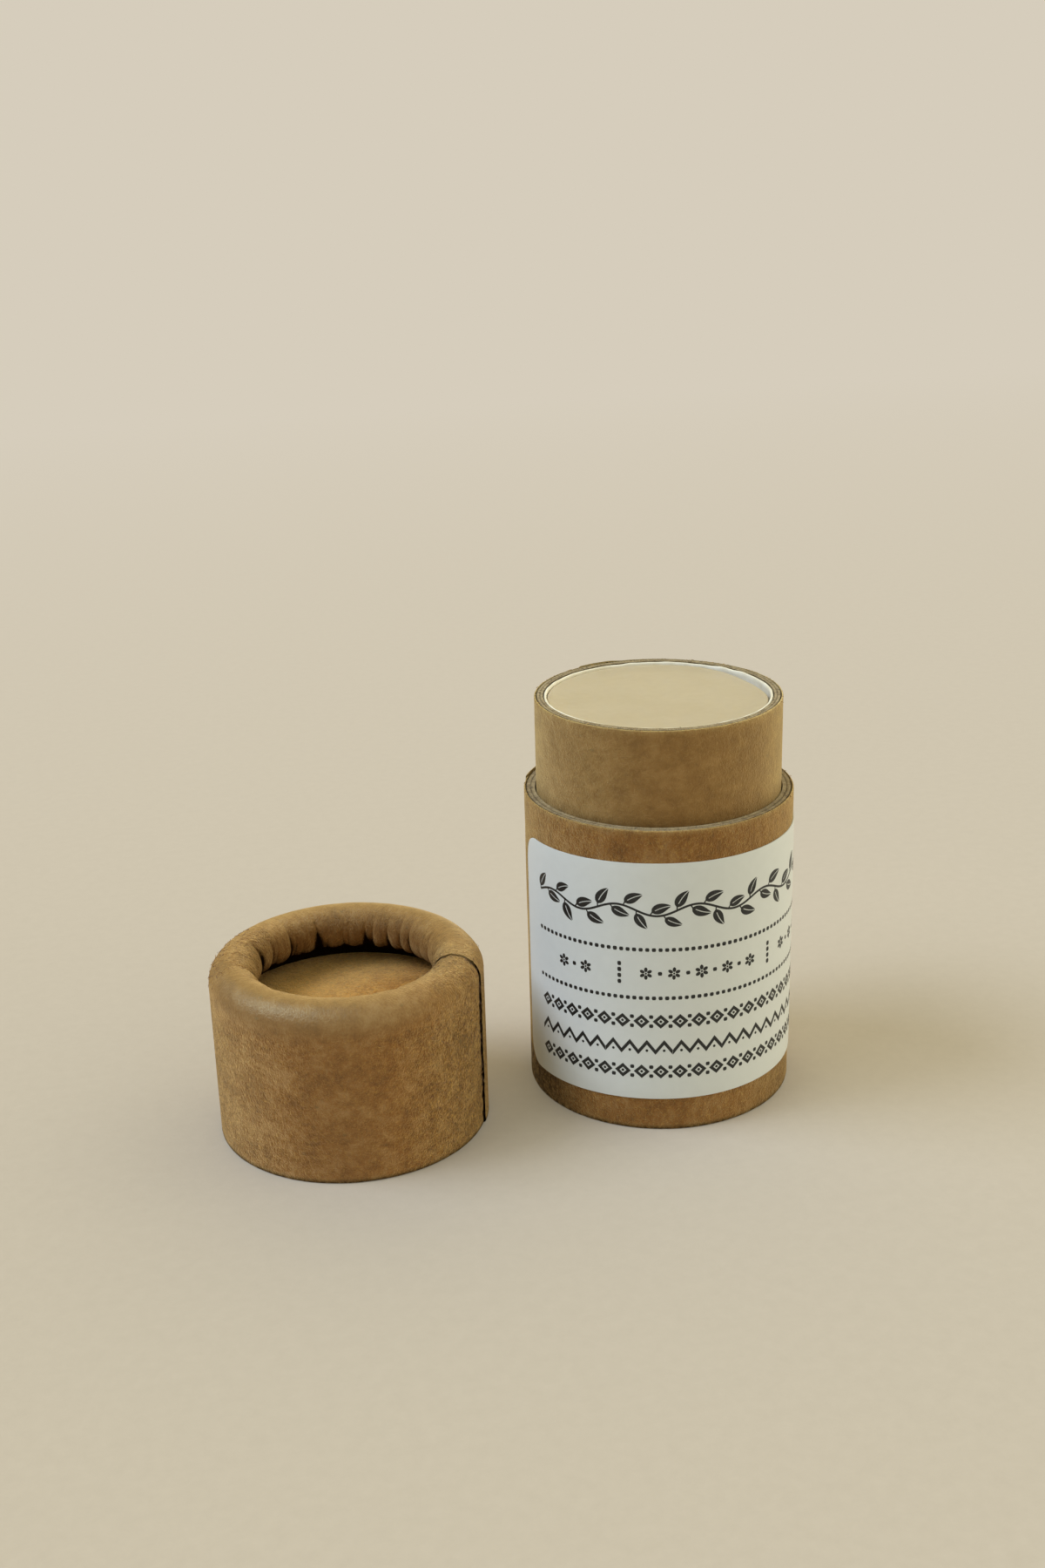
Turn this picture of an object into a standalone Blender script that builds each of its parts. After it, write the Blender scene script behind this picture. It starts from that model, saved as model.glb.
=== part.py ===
"""Lip balm in a paperboard push-up tube, standing open beside its cap.

The tube is wound paperboard: an outer base tube, a narrower neck tube glued inside it, a greaseproof liner, and a
small paperboard piston that pushes the balm up by a finger through the foot. The cap is a shorter tube whose top is
rolled inwards above a sunk end disc. Both pieces stand on z = 0, side by side along X, and the origin is the middle of
the footprint of the whole.
"""

import math

import bmesh
import bpy

MM = 0.001

# Sizes of the base tube
BASE_DIAMETER = 20.8 * MM
BASE_HEIGHT = 24.5 * MM
BASE_BOARD = 0.65 * MM

# Sizes of the neck tube and what lines it
NECK_TOP = 31.8 * MM
NECK_BOARD = 0.5 * MM
LINER_THICKNESS = 0.2 * MM
LINER_SETBACK = 0.05 * MM

# Sizes of the papers glued on, and of the room left for the glue
WRAP_PAPER = 0.15 * MM
GLUE_LINE = 0.05 * MM
CUT_EDGE_ROUND = 0.12 * MM
TUBE_FIT = 0.1 * MM

# Sizes of the ring in the foot
STOP_RING_HEIGHT = 2.85 * MM
STOP_RING_WIDTH = 1.95 * MM
STOP_RING_SETBACK = 0.15 * MM

# Sizes of the piston and of the balm on it
PISTON_FIT = 0.1 * MM
COLLAR_HEIGHT = 3.2 * MM
COLLAR_BOARD = 0.7 * MM
PISTON_DISC = 0.8 * MM
PISTON_FACING = 0.15 * MM
BALM_BELOW_RIM = 0.4 * MM
BALM_FIT = 0.08 * MM
BALM_EDGE_ROUND = 0.2 * MM

# Sizes of the label
LABEL_LENGTH = 57.15 * MM
LABEL_HEIGHT = 19.3 * MM
LABEL_FOOT_GAP = 2.7 * MM
LABEL_PAPER = 0.08 * MM
LABEL_CORNER = 1.8 * MM
LABEL_START = math.radians(177.7)

# Sizes of the cap. Its lip ends at a turn of so many degrees round its own roll, counted from the wall
CAP_HEIGHT = 14.08 * MM
CAP_BOARD = 0.5 * MM
SLEEVE_PAPER = 0.1 * MM
NECK_TO_SLEEVE = 0.1 * MM
LIP_WIDTH = 3.76 * MM
LIP_END_TURN = 272
DISC_BELOW_LIP = 1.05 * MM
END_DISC_BOARD = 0.8 * MM
END_DISC_FACING = 0.15 * MM
END_DISC_LINER = 0.1 * MM

# How far apart the two stand, from axis to axis
STAND_APART = 25.2 * MM

# How round things are cut into flats, and the distance under which two points are one
TURN_STEPS = 64
ROUND_STEPS = 3
ROLL_STEPS = 10
CORNER_STEPS = 4
SAME_POINT = 0.0005 * MM

BASE_RADIUS = BASE_DIAMETER / 2
BASE_BOARD_OUTSIDE = BASE_RADIUS - WRAP_PAPER - GLUE_LINE
BASE_BORE = BASE_BOARD_OUTSIDE - BASE_BOARD
NECK_RADIUS = BASE_BORE - TUBE_FIT
NECK_BOARD_OUTSIDE = NECK_RADIUS - WRAP_PAPER - GLUE_LINE
NECK_BOARD_INSIDE = NECK_BOARD_OUTSIDE - NECK_BOARD
LINER_OUTSIDE = NECK_BOARD_INSIDE - GLUE_LINE
NECK_BORE = LINER_OUTSIDE - LINER_THICKNESS
STOP_RING_OUTSIDE = BASE_BORE - TUBE_FIT
STOP_RING_INSIDE = STOP_RING_OUTSIDE - STOP_RING_WIDTH
STOP_RING_TOP = STOP_RING_SETBACK + STOP_RING_HEIGHT
NECK_FOOT = STOP_RING_TOP + TUBE_FIT
PISTON_RADIUS = NECK_BORE - PISTON_FIT
COLLAR_FOOT = NECK_FOOT
COLLAR_TOP = COLLAR_FOOT + COLLAR_HEIGHT
PISTON_DISC_FOOT = COLLAR_TOP + GLUE_LINE
PISTON_DISC_TOP = PISTON_DISC_FOOT + PISTON_DISC
PISTON_FACING_FOOT = PISTON_DISC_TOP + GLUE_LINE
PISTON_FACE = PISTON_FACING_FOOT + PISTON_FACING
BALM_FOOT = PISTON_FACE + GLUE_LINE
BALM_TOP = NECK_TOP - BALM_BELOW_RIM
BALM_RADIUS = NECK_BORE - BALM_FIT
LABEL_INSIDE = BASE_RADIUS + GLUE_LINE
LABEL_OUTSIDE = LABEL_INSIDE + LABEL_PAPER
SLEEVE_INSIDE = NECK_RADIUS + NECK_TO_SLEEVE
SLEEVE_OUTSIDE = SLEEVE_INSIDE + SLEEVE_PAPER
CAP_BOARD_INSIDE = SLEEVE_OUTSIDE + GLUE_LINE
CAP_BOARD_OUTSIDE = CAP_BOARD_INSIDE + CAP_BOARD
CAP_RADIUS = CAP_BOARD_OUTSIDE + GLUE_LINE + WRAP_PAPER
END_DISC_RADIUS = CAP_BOARD_INSIDE - GLUE_LINE
END_DISC_TOP = CAP_HEIGHT - LIP_WIDTH - DISC_BELOW_LIP
END_DISC_LINER_TOP = END_DISC_TOP - END_DISC_FACING - END_DISC_BOARD - 2 * GLUE_LINE
SLEEVE_TOP = END_DISC_LINER_TOP - END_DISC_LINER - GLUE_LINE
ROLL_RADIUS = LIP_WIDTH / 2
ROLL_CENTRE_R = CAP_RADIUS - ROLL_RADIUS
ROLL_CENTRE_Z = CAP_HEIGHT - ROLL_RADIUS

# The whole is centred on the origin, from the cap's far side to the label's
TUBE_X = (STAND_APART + CAP_RADIUS - LABEL_OUTSIDE) / 2
CAP_X = TUBE_X - STAND_APART

# Colours are linear red, green and blue
KRAFT_COLOUR = (0.27, 0.15, 0.052, 1.0)
BOARD_COLOUR = (0.30, 0.19, 0.085, 1.0)
GREASEPROOF_COLOUR = (0.66, 0.64, 0.56, 1.0)
LABEL_COLOUR = (0.62, 0.64, 0.60, 1.0)
BALM_COLOUR = (0.62, 0.52, 0.31, 1.0)


def clear_objects():
    """Empties the scene that the part is built in."""
    for thing in list(bpy.data.objects):
        bpy.data.objects.remove(thing, do_unlink=True)


def material(name, colour, roughness):
    """A plain finish. Paper and wax are never metallic."""
    finish = bpy.data.materials.new(name)
    finish.use_nodes = True
    shader = finish.node_tree.nodes["Principled BSDF"]
    shader.inputs["Base Color"].default_value = colour
    shader.inputs["Roughness"].default_value = roughness
    shader.inputs["Metallic"].default_value = 0.0
    finish.diffuse_color = colour
    return finish


def carrier(name, x, z=0.0):
    """An empty on the axis of one moving body, which its pieces hang under."""
    empty = bpy.data.objects.new(name, None)
    empty.location = (x, 0.0, z)
    bpy.context.collection.objects.link(empty)
    return empty


def finished(name, bm, finish, parent):
    """Closes a mesh, turns its faces out, shades it smooth and hangs it under its carrier."""
    bmesh.ops.remove_doubles(bm, verts=bm.verts, dist=SAME_POINT)
    bmesh.ops.recalc_face_normals(bm, faces=bm.faces)
    mesh = bpy.data.meshes.new(name)
    bm.to_mesh(mesh)
    bm.free()
    mesh.materials.append(finish)
    mesh.shade_smooth()
    mesh.set_sharp_from_angle(angle=math.radians(35))
    piece = bpy.data.objects.new(name, mesh)
    piece.parent = parent
    bpy.context.collection.objects.link(piece)
    return piece


def turned(name, outline, finish, parent):
    """Turns a closed outline of (radius, height) points about the carrier's axis."""
    base = parent.location.z
    bm = bmesh.new()
    corners = [bm.verts.new((radius, 0.0, height - base)) for radius, height in outline]
    edges = [bm.edges.new((corner, corners[(i + 1) % len(corners)])) for i, corner in enumerate(corners)]
    bmesh.ops.spin(
        bm,
        geom=corners + edges,
        cent=(0.0, 0.0, 0.0),
        axis=(0.0, 0.0, 1.0),
        angle=2 * math.pi,
        steps=TURN_STEPS,
        use_merge=False,
    )
    bmesh.ops.remove_doubles(bm, verts=bm.verts, dist=SAME_POINT)
    on_axis = [edge for edge in bm.edges if not edge.link_faces]
    bmesh.ops.delete(bm, geom=on_axis, context="EDGES")
    return finished(name, bm, finish, parent)


def arc(centre_r, centre_z, radius, first, last, steps):
    """Points along an arc, with angles in degrees counted from +r towards +z."""
    points = []
    for i in range(steps + 1):
        turn = math.radians(first + (last - first) * i / steps)
        points.append((centre_r + radius * math.cos(turn), centre_z + radius * math.sin(turn)))
    return points


def tube_outline(inside, outside, foot, top):
    """The section of a plain tube with square ends."""
    return [(inside, foot), (outside, foot), (outside, top), (inside, top)]


def wrap_outline(outside, foot, top):
    """The section of a glued-on paper whose outer edges are rubbed round at both cut ends."""
    inside = outside - WRAP_PAPER
    centre = outside - CUT_EDGE_ROUND
    outline = [(inside, foot)]
    outline += arc(centre, foot + CUT_EDGE_ROUND, CUT_EDGE_ROUND, -90, 0, ROUND_STEPS)
    outline += arc(centre, top - CUT_EDGE_ROUND, CUT_EDGE_ROUND, 0, 90, ROUND_STEPS)
    outline += [(inside, top)]
    return outline


def disc_outline(radius, foot, top):
    """The section of a flat disc."""
    return [(0.0, foot), (radius, foot), (radius, top), (0.0, top)]


def rolled_outline(outside, thickness, foot):
    """The section of a layer that runs up the cap's wall and rolls inwards and under itself, above the end disc."""
    outer_bend = outside - ROLL_CENTRE_R
    inner_bend = outer_bend - thickness
    outline = [(outside - thickness, foot), (outside, foot)]
    outline += arc(ROLL_CENTRE_R, ROLL_CENTRE_Z, outer_bend, 0, LIP_END_TURN, ROLL_STEPS)
    outline += arc(ROLL_CENTRE_R, ROLL_CENTRE_Z, inner_bend, LIP_END_TURN, 0, ROLL_STEPS)
    return outline


def make_base(parent, kraft, board):
    turned("base_tube_board", tube_outline(BASE_BORE, BASE_BOARD_OUTSIDE, 0.0, BASE_HEIGHT), board, parent)
    turned("base_tube_wrap", wrap_outline(BASE_RADIUS, 0.0, BASE_HEIGHT), kraft, parent)


def make_neck(parent, kraft, board, greaseproof):
    turned("neck_tube_board", tube_outline(NECK_BOARD_INSIDE, NECK_BOARD_OUTSIDE, NECK_FOOT, NECK_TOP), board, parent)
    turned("neck_tube_wrap", wrap_outline(NECK_RADIUS, NECK_FOOT, NECK_TOP), kraft, parent)
    liner = tube_outline(NECK_BORE, LINER_OUTSIDE, NECK_FOOT, NECK_TOP - LINER_SETBACK)
    turned("neck_liner", liner, greaseproof, parent)


def make_stop_ring(parent, board):
    ring = tube_outline(STOP_RING_INSIDE, STOP_RING_OUTSIDE, STOP_RING_SETBACK, STOP_RING_TOP)
    turned("stop_ring", ring, board, parent)


def label_columns():
    """The label's upright cuts: how far along it each one is, and how much the round corner takes off there."""
    columns = []
    for i in range(CORNER_STEPS):
        turn = math.pi / 2 * i / CORNER_STEPS
        columns.append((LABEL_CORNER * (1 - math.cos(turn)), LABEL_CORNER * (1 - math.sin(turn))))
    plain = round(TURN_STEPS * LABEL_LENGTH / (2 * math.pi * LABEL_OUTSIDE))
    straight = LABEL_LENGTH - 2 * LABEL_CORNER
    for i in range(plain + 1):
        columns.append((LABEL_CORNER + straight * i / plain, 0.0))
    for along, taken in reversed(columns[:CORNER_STEPS]):
        columns.append((LABEL_LENGTH - along, taken))
    return columns


def make_label(parent, paper):
    """A bent sheet with round corners, closed with a narrow edge all round."""
    bm = bmesh.new()
    low = LABEL_FOOT_GAP
    high = LABEL_FOOT_GAP + LABEL_HEIGHT
    rings = []
    for along, taken in label_columns():
        turn = LABEL_START + along / LABEL_OUTSIDE
        corners = [
            (LABEL_INSIDE, low + taken),
            (LABEL_OUTSIDE, low + taken),
            (LABEL_OUTSIDE, high - taken),
            (LABEL_INSIDE, high - taken),
        ]
        ring = [bm.verts.new((radius * math.cos(turn), radius * math.sin(turn), height)) for radius, height in corners]
        rings.append(ring)
    for ring, following in zip(rings, rings[1:]):
        for i in range(4):
            after = (i + 1) % 4
            bm.faces.new((ring[i], ring[after], following[after], following[i]))
    bm.faces.new(reversed(rings[0]))
    bm.faces.new(rings[-1])
    finished("label", bm, paper, parent)


def make_piston(parent, board, greaseproof):
    collar = tube_outline(PISTON_RADIUS - COLLAR_BOARD, PISTON_RADIUS, COLLAR_FOOT, COLLAR_TOP)
    turned("piston_collar", collar, board, parent)
    turned("piston_disc", disc_outline(PISTON_RADIUS, PISTON_DISC_FOOT, PISTON_DISC_TOP), board, parent)
    turned("piston_facing", disc_outline(PISTON_RADIUS, PISTON_FACING_FOOT, PISTON_FACE), greaseproof, parent)


def make_balm(parent, wax):
    outline = [(0.0, BALM_FOOT), (BALM_RADIUS, BALM_FOOT)]
    shoulder = BALM_RADIUS - BALM_EDGE_ROUND
    outline += arc(shoulder, BALM_TOP - BALM_EDGE_ROUND, BALM_EDGE_ROUND, 0, 90, ROUND_STEPS)
    outline += [(0.0, BALM_TOP)]
    turned("balm_stick", outline, wax, parent)


def make_cap_wall(parent, kraft, board, greaseproof):
    turned("cap_tube_board", rolled_outline(CAP_BOARD_OUTSIDE, CAP_BOARD, 0.0), board, parent)
    turned("cap_tube_wrap", rolled_outline(CAP_RADIUS, WRAP_PAPER, 0.0), kraft, parent)
    turned("cap_sleeve", tube_outline(SLEEVE_INSIDE, SLEEVE_OUTSIDE, 0.0, SLEEVE_TOP), greaseproof, parent)


def make_cap_end(parent, kraft, board, greaseproof):
    facing_foot = END_DISC_TOP - END_DISC_FACING
    board_top = facing_foot - GLUE_LINE
    board_foot = board_top - END_DISC_BOARD
    liner_foot = END_DISC_LINER_TOP - END_DISC_LINER
    turned("cap_end_facing", disc_outline(END_DISC_RADIUS, facing_foot, END_DISC_TOP), kraft, parent)
    turned("cap_end_board", disc_outline(END_DISC_RADIUS, board_foot, board_top), board, parent)
    turned("cap_end_liner", disc_outline(END_DISC_RADIUS, liner_foot, END_DISC_LINER_TOP), greaseproof, parent)


def main():
    clear_objects()
    kraft = material("kraft_paper", KRAFT_COLOUR, 0.62)
    board = material("grey_brown_board", BOARD_COLOUR, 0.85)
    greaseproof = material("greaseproof_paper", GREASEPROOF_COLOUR, 0.5)
    paper = material("label_paper", LABEL_COLOUR, 0.35)
    wax = material("balm_wax", BALM_COLOUR, 0.4)

    tube = carrier("tube_axis", TUBE_X)
    piston = carrier("piston_slide_axis", TUBE_X, COLLAR_FOOT)
    cap = carrier("cap_lift_axis", CAP_X)

    make_base(tube, kraft, board)
    make_neck(tube, kraft, board, greaseproof)
    make_stop_ring(tube, board)
    make_label(tube, paper)
    make_piston(piston, board, greaseproof)
    make_balm(piston, wax)
    make_cap_wall(cap, kraft, board, greaseproof)
    make_cap_end(cap, kraft, board, greaseproof)


main()
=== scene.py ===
"""Looks of an open lip balm in a kraft paperboard push-up tube, with its cap standing beside it.

Lengths are in metres. Sizes are read from the frame, and what the frame doesn't carry, such as the grain of a
paper or a layout on the label, has a named value here in real millimetres.
"""

import math
from functools import partialmethod
from types import SimpleNamespace

import bmesh
import bpy
import numpy as np
from mathutils import Matrix, Vector


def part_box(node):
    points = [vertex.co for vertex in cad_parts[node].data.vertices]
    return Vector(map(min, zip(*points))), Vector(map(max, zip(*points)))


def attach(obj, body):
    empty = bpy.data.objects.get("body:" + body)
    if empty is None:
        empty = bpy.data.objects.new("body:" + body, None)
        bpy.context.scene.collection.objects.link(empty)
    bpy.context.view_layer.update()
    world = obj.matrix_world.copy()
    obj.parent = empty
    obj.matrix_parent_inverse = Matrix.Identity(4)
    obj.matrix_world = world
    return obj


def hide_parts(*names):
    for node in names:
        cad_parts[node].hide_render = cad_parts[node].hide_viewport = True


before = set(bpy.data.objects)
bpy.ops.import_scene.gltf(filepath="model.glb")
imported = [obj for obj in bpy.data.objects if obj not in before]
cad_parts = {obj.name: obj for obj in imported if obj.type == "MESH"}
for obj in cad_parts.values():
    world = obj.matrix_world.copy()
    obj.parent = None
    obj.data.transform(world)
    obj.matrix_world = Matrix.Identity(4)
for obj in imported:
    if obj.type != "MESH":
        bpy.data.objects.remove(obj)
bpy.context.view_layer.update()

MM = 0.001
FULL_TURN = 2 * math.pi

# The photograph's camera, in the frame's own axes
CAMERA_PLACE = (-31.165 * MM, -124.3 * MM, 71.9 * MM)
CAMERA_HEADING = math.radians(14.8)
CAMERA_DOWN = math.radians(19.77)
CAMERA_ROLL = math.radians(-1.59)
FOCAL_PIXELS = 2070.4
PICTURE_HEIGHT_PIXELS = 1800
SENSOR_MM = 36.0

# Colours, as sRGB hex values
BACKDROP = "D6CDBC"
FLOOR = "B8AC9E"
FLOOR_PALE = "BCB0A2"
KRAFT_COLOURS = {
    "dark": "633001", "mid": "7E4603", "light": "936436",
    "fleck": "341701", "fibre": "C49547", "rust": "763C02",
}
# The sunk disc's kraft, lighter and more orange than the cap's own: painted light in the cap's hollow
LIT_DISC_COLOURS = {
    "dark": "A65706", "mid": "C37309", "light": "DB8B20",
    "fleck": "582B06", "fibre": "EDAC46", "rust": "B66107",
}
NECK_COLOURS = {
    "dark": "643C10", "mid": "7A501E", "light": "916736",
    "fleck": "3B2009", "fibre": "A27A4D", "rust": "744415",
}
# Pale of wear, and of painted light
WORN_AND_LIT_KRAFT = "BBA166"
BURNISHED_KRAFT = "6A5C3E"
KRAFT_GLINT = "FFF9C3"
BURNISHED_GLINT = "FFFFD6"
KRAFT_VEIL = "FFD592"
NECK_VEIL = "EBD49C"
BASE_VEIL = "EFD293"
BOARD_DARK, BOARD_MID, BOARD_LIGHT = "655031", "978159", "B3A07A"
BOARD_DARKEST = "1E1408"
# The dark of dirt and of painted shade
SHADE_AND_DIRT_DARK = "1A0E03"
GREASEPROOF_TONES = ("DDD4BF", "EBE5D6")
LABEL_TONES = ("D4D7D6", "D7DAD9")
INK_TONES = ("17181A", "2A2B2C")
BALM_DEEP, BALM_MID, BALM_PALE = "AA9A80", "AFA088", "B3A58F"


def linear(code):
    """An sRGB hex value as the linear colour that a shader takes."""
    parts = [int(code[i : i + 2], 16) / 255 for i in (0, 2, 4)]
    return tuple(p / 12.92 if p <= 0.04045 else ((p + 0.055) / 1.055) ** 2.4 for p in parts) + (1.0,)


def measure(node):
    """Centre, radius, foot and top of a node that is turned about an upright axis."""
    low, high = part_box(node)
    centre = ((low[0] + high[0]) / 2, (low[1] + high[1]) / 2)
    return SimpleNamespace(centre=centre, radius=(high[0] - low[0]) / 2, foot=low[2], top=high[2])


# Nodes


class Value:
    """An output of a node, to link to others. Sums with it add their own nodes to its tree."""

    def __init__(self, tree, socket):
        self.tree, self.socket = tree, socket

    def also(self, out):
        """Another output of the same node."""
        return Value(self.tree, self.socket.node.outputs[out])

    def maths(self, operation, *others, clamp=False):
        terms = {"_" + str(i): term for i, term in enumerate((self,) + others)}
        return add(self.tree, "Math", {"operation": operation, "use_clamp": clamp}, **terms)

    __add__ = partialmethod(maths, "ADD")
    __sub__ = partialmethod(maths, "SUBTRACT")
    __rsub__ = partialmethod(maths, "MULTIPLY_ADD", -1.0)
    __mul__ = partialmethod(maths, "MULTIPLY")
    __truediv__ = partialmethod(maths, "DIVIDE")
    __abs__ = partialmethod(maths, "ABSOLUTE")

    def vector(self, operation, other=(0.0, 0.0, 0.0), out=0):
        return add(self.tree, "VectorMath", {"operation": operation}, out, _0=self, _1=other)


def add(tree, kind, settings=None, out=0, **inputs):
    """Adds a node and returns one of its outputs. Its kind is a shader node's, unless it says otherwise. An
    input is a Value, a hex colour or a plain value, and _0 and so on stand for numbers."""
    node = tree.nodes.new(kind if kind.startswith(("Geometry", "Function")) else "ShaderNode" + kind)
    for key, value in (settings or {}).items():
        setattr(node, key, value)
    for key, value in inputs.items():
        socket = node.inputs[int(key[1:]) if key[0] == "_" else key.replace("_", " ")]
        if isinstance(value, Value):
            tree.links.new(value.socket, socket)
        else:
            socket.default_value = linear(value) if isinstance(value, str) else value
    return Value(tree, node.outputs[out]) if len(node.outputs) else None


def blank(owner):
    """A new material or world with an empty tree, and that tree."""
    owner.use_nodes = True
    owner.node_tree.nodes.clear()
    return owner, owner.node_tree


def new_finish(name):
    return blank(bpy.data.materials.new(name))


def noise(place, per_mm, detail=2.0, rough=0.5, twist=0.0):
    """Soft noise with this many swells to a millimetre."""
    inputs = {"Vector": place, "Scale": per_mm, "Detail": detail, "Roughness": rough, "Distortion": twist}
    return add(place.tree, "TexNoise", out="Fac", **inputs)


def ranged(value, low, high, new_low=0.0, new_high=1.0):
    """A value's range turned into another, and cut off at its ends."""
    inputs = {"From_Min": low, "From_Max": high, "To_Min": new_low, "To_Max": new_high}
    return add(value.tree, "MapRange", Value=value, **inputs)


def blended(factor, first, second):
    """Two colours mixed."""
    settings = {"data_type": "RGBA", "clamp_factor": True}
    return add(factor.tree, "Mix", settings, 2, _0=factor, _6=first, _7=second)


def three_tones(tone, low, middle, high, dark, mid, light):
    """A dark, a middle and a light colour, laid out over a range of tones."""
    return blended(ranged(tone, middle, high), blended(ranged(tone, low, middle), dark, mid), light)


def bump(height, strength, deep):
    """Relief of this depth in millimetres."""
    return add(height.tree, "Bump", Height=height, Strength=strength, Distance=deep * MM)


def mark(tree, name):
    """A number that the mesh carries at each of its points."""
    return add(tree, "Attribute", {"attribute_name": name}, "Fac")


def object_place(tree):
    return add(tree, "TexCoord", out="Object")


def paper_place(tree, stretch=(1.0, 1.0), turn=0.0, shift=0.0):
    """Millimetres along and up the sheet, so that grain follows the paper round its tube."""
    flat = add(tree, "UVMap", {"uv_map": "sheet"})
    scale = (stretch[0] / MM, stretch[1] / MM, 1 / MM)
    moved = {"Location": (shift, shift, shift), "Rotation": (0.0, 0.0, turn), "Scale": scale}
    return add(tree, "Mapping", Vector=flat, **moved)


def fibre_lines(place, per_mm, width, gate):
    """Thin curling hairs: where a noise crosses its middle and a coarser one passes the gate."""
    swell = noise(place, per_mm, detail=0.0, twist=0.6)
    kept = ranged(noise(place, per_mm * 1.7, detail=0.0), gate, gate + 0.08)
    return ranged(abs(swell - 0.5), width, 0.0) * kept


# Camera, light and stage

# A broad cool window high on the left, in two panes, and a pale warm room. A pane has its azimuth in degrees
# and its light. A glow of the room has the way that it comes from, how narrow it is and its light.
WINDOW_HEIGHT = math.radians(48)
WINDOW_SPREAD = math.radians(30)
WINDOW_PANES = ((168, (1.2, 1.44, 1.82)), (192, (0.72, 0.8, 0.9)))
ROOM_GLOWS = (
    ((1.0, 0.0, 0.0), 2.0, (2.5, 2.3, 1.7)),
    ((0.0, 1.0, 0.0), 2.0, (0.22, 0.16, 0.05)),
    ((0.0, -1.0, 0.0), 2.0, (0.4, 0.39, 0.36)),
    ((0.0, 0.0, 1.0), 2.0, (0.1, 0.12, 0.05)),
    ((0.71, 0.0, 0.71), 4.0, (0.03, 0.1, 0.18)),
    ((0.0, 0.71, 0.71), 4.0, (1.0, 0.86, 0.42)),
    ((0.0, -0.71, 0.71), 4.0, (0.41, 0.42, 0.3)),
)
FLOOR_RADIUS = 3.0
FLOOR_FADE_BACK = (-0.06, 0.38)
FLOOR_FADE_ROUND = (0.3, 0.9)


def put_in_scene(name, data):
    thing = bpy.data.objects.new(name, data)
    bpy.context.collection.objects.link(thing)
    return thing


def direction(azimuth, height):
    level = math.cos(height)
    return Vector((math.cos(azimuth) * level, math.sin(azimuth) * level, math.sin(height)))


def place_camera():
    data = bpy.data.cameras.new("photo_camera")
    data.sensor_fit = "VERTICAL"
    data.sensor_height = SENSOR_MM
    data.lens = SENSOR_MM * FOCAL_PIXELS / PICTURE_HEIGHT_PIXELS
    data.clip_start = MM
    camera = put_in_scene("photo_camera", data)
    look = direction(FULL_TURN / 4 - CAMERA_HEADING, -CAMERA_DOWN)
    turn = look.to_track_quat("-Z", "Y").to_matrix().to_4x4()
    camera.matrix_world = Matrix.Translation(CAMERA_PLACE) @ turn @ Matrix.Rotation(CAMERA_ROLL, 4, "Z")
    bpy.context.scene.camera = camera


def hang_window():
    for azimuth, light in WINDOW_PANES:
        data = bpy.data.lights.new("window_pane", "SUN")
        data.angle = WINDOW_SPREAD
        data.energy = max(light)
        data.color = [part / data.energy for part in light]
        away = direction(math.radians(azimuth), WINDOW_HEIGHT)
        put_in_scene("window_pane", data).rotation_euler = (-away).to_track_quat("-Z", "Y").to_euler()


def light_room():
    """The room's soft glows, added up. What the camera sees directly is the plain backdrop."""
    world, tree = blank(bpy.data.worlds.new("room"))
    bpy.context.scene.world = world
    way = add(tree, "TexCoord", out="Generated")
    total = (0.0, 0.0, 0.0)
    for source, narrow, light in ROOM_GLOWS:
        share = way.vector("DOT_PRODUCT", source, "Value").maths("MAXIMUM", 0.0).maths("POWER", narrow)
        glow = add(tree, "VectorMath", {"operation": "SCALE"}, _0=light, Scale=share)
        total = glow.vector("ADD", total)
    lit = add(tree, "Background", Color=total)
    seen = add(tree, "Background", Color=BACKDROP)
    direct = add(tree, "LightPath", out="Is Camera Ray")
    mixed = add(tree, "MixShader", Fac=direct, _1=lit, _2=seen)
    add(tree, "OutputWorld", Surface=mixed)


def floor_finish():
    """Smooth matt paint. Far off it turns into the backdrop's own colour, so that no horizon shows."""
    finish, tree = new_finish("matt_painted_floor")
    place = object_place(tree)
    grain = bump(noise(place, 3.2 / MM, detail=3.0), 0.2, 0.05)
    tone = ranged(noise(place, 0.9 / MM, detail=4.0, rough=0.7), 0.3, 0.7)
    paint = add(tree, "BsdfDiffuse", Color=blended(tone, FLOOR, FLOOR_PALE), Normal=grain)
    far = add(tree, "Emission", Color=BACKDROP)
    depth = add(tree, "SeparateXYZ", out="Y", Vector=place)
    away = ranged(place.vector("LENGTH", out="Value"), *FLOOR_FADE_ROUND)
    fade = ranged(depth, *FLOOR_FADE_BACK).maths("MAXIMUM", away)
    add(tree, "OutputMaterial", Surface=add(tree, "MixShader", Fac=fade, _1=paint, _2=far))
    return finish


def lay_floor():
    bm = bmesh.new()
    bmesh.ops.create_circle(bm, cap_ends=True, radius=FLOOR_RADIUS, segments=96)
    mesh = bpy.data.meshes.new("floor")
    bm.to_mesh(mesh)
    bm.free()
    mesh.materials.append(floor_finish())
    put_in_scene("floor", mesh)


# Finishes. Scales are in swells to a millimetre, unless the place is the object's own.

# The hairs on kraft paper's face: long pale ones, short pale ones and dark ones. Each kind has its stretch,
# turn, shift, scale, width and gate, and how strongly it shows, in which colour.
KRAFT_HAIRS = (
    ((0.85, 1.0), 0.0, 3.1, 1.5, 0.022, 0.47, 0.46, "fibre"),
    ((1.1, 0.8), 0.4, 7.7, 2.6, 0.035, 0.5, 0.5, "fibre"),
    ((1.2, 0.8), -0.3, 17.0, 2.0, 0.03, 0.53, 0.48, "fleck"),
)
# Its pale and dark grit: from which tone to which it grows
KRAFT_GRIT = ((0.58, 0.68, "fibre"), (0.42, 0.32, "fleck"))
# Its creases: turn, scale and width
KRAFT_CREASES = ((0.35, 2.3, 0.1), (-0.5, 3.2, 0.12), (1.2, 4.2, 0.14))
# From this much of the shaded mark on, the paper turns wholly dark, as dirt and as painted shade
WHOLLY_SHADED = 0.85


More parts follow.
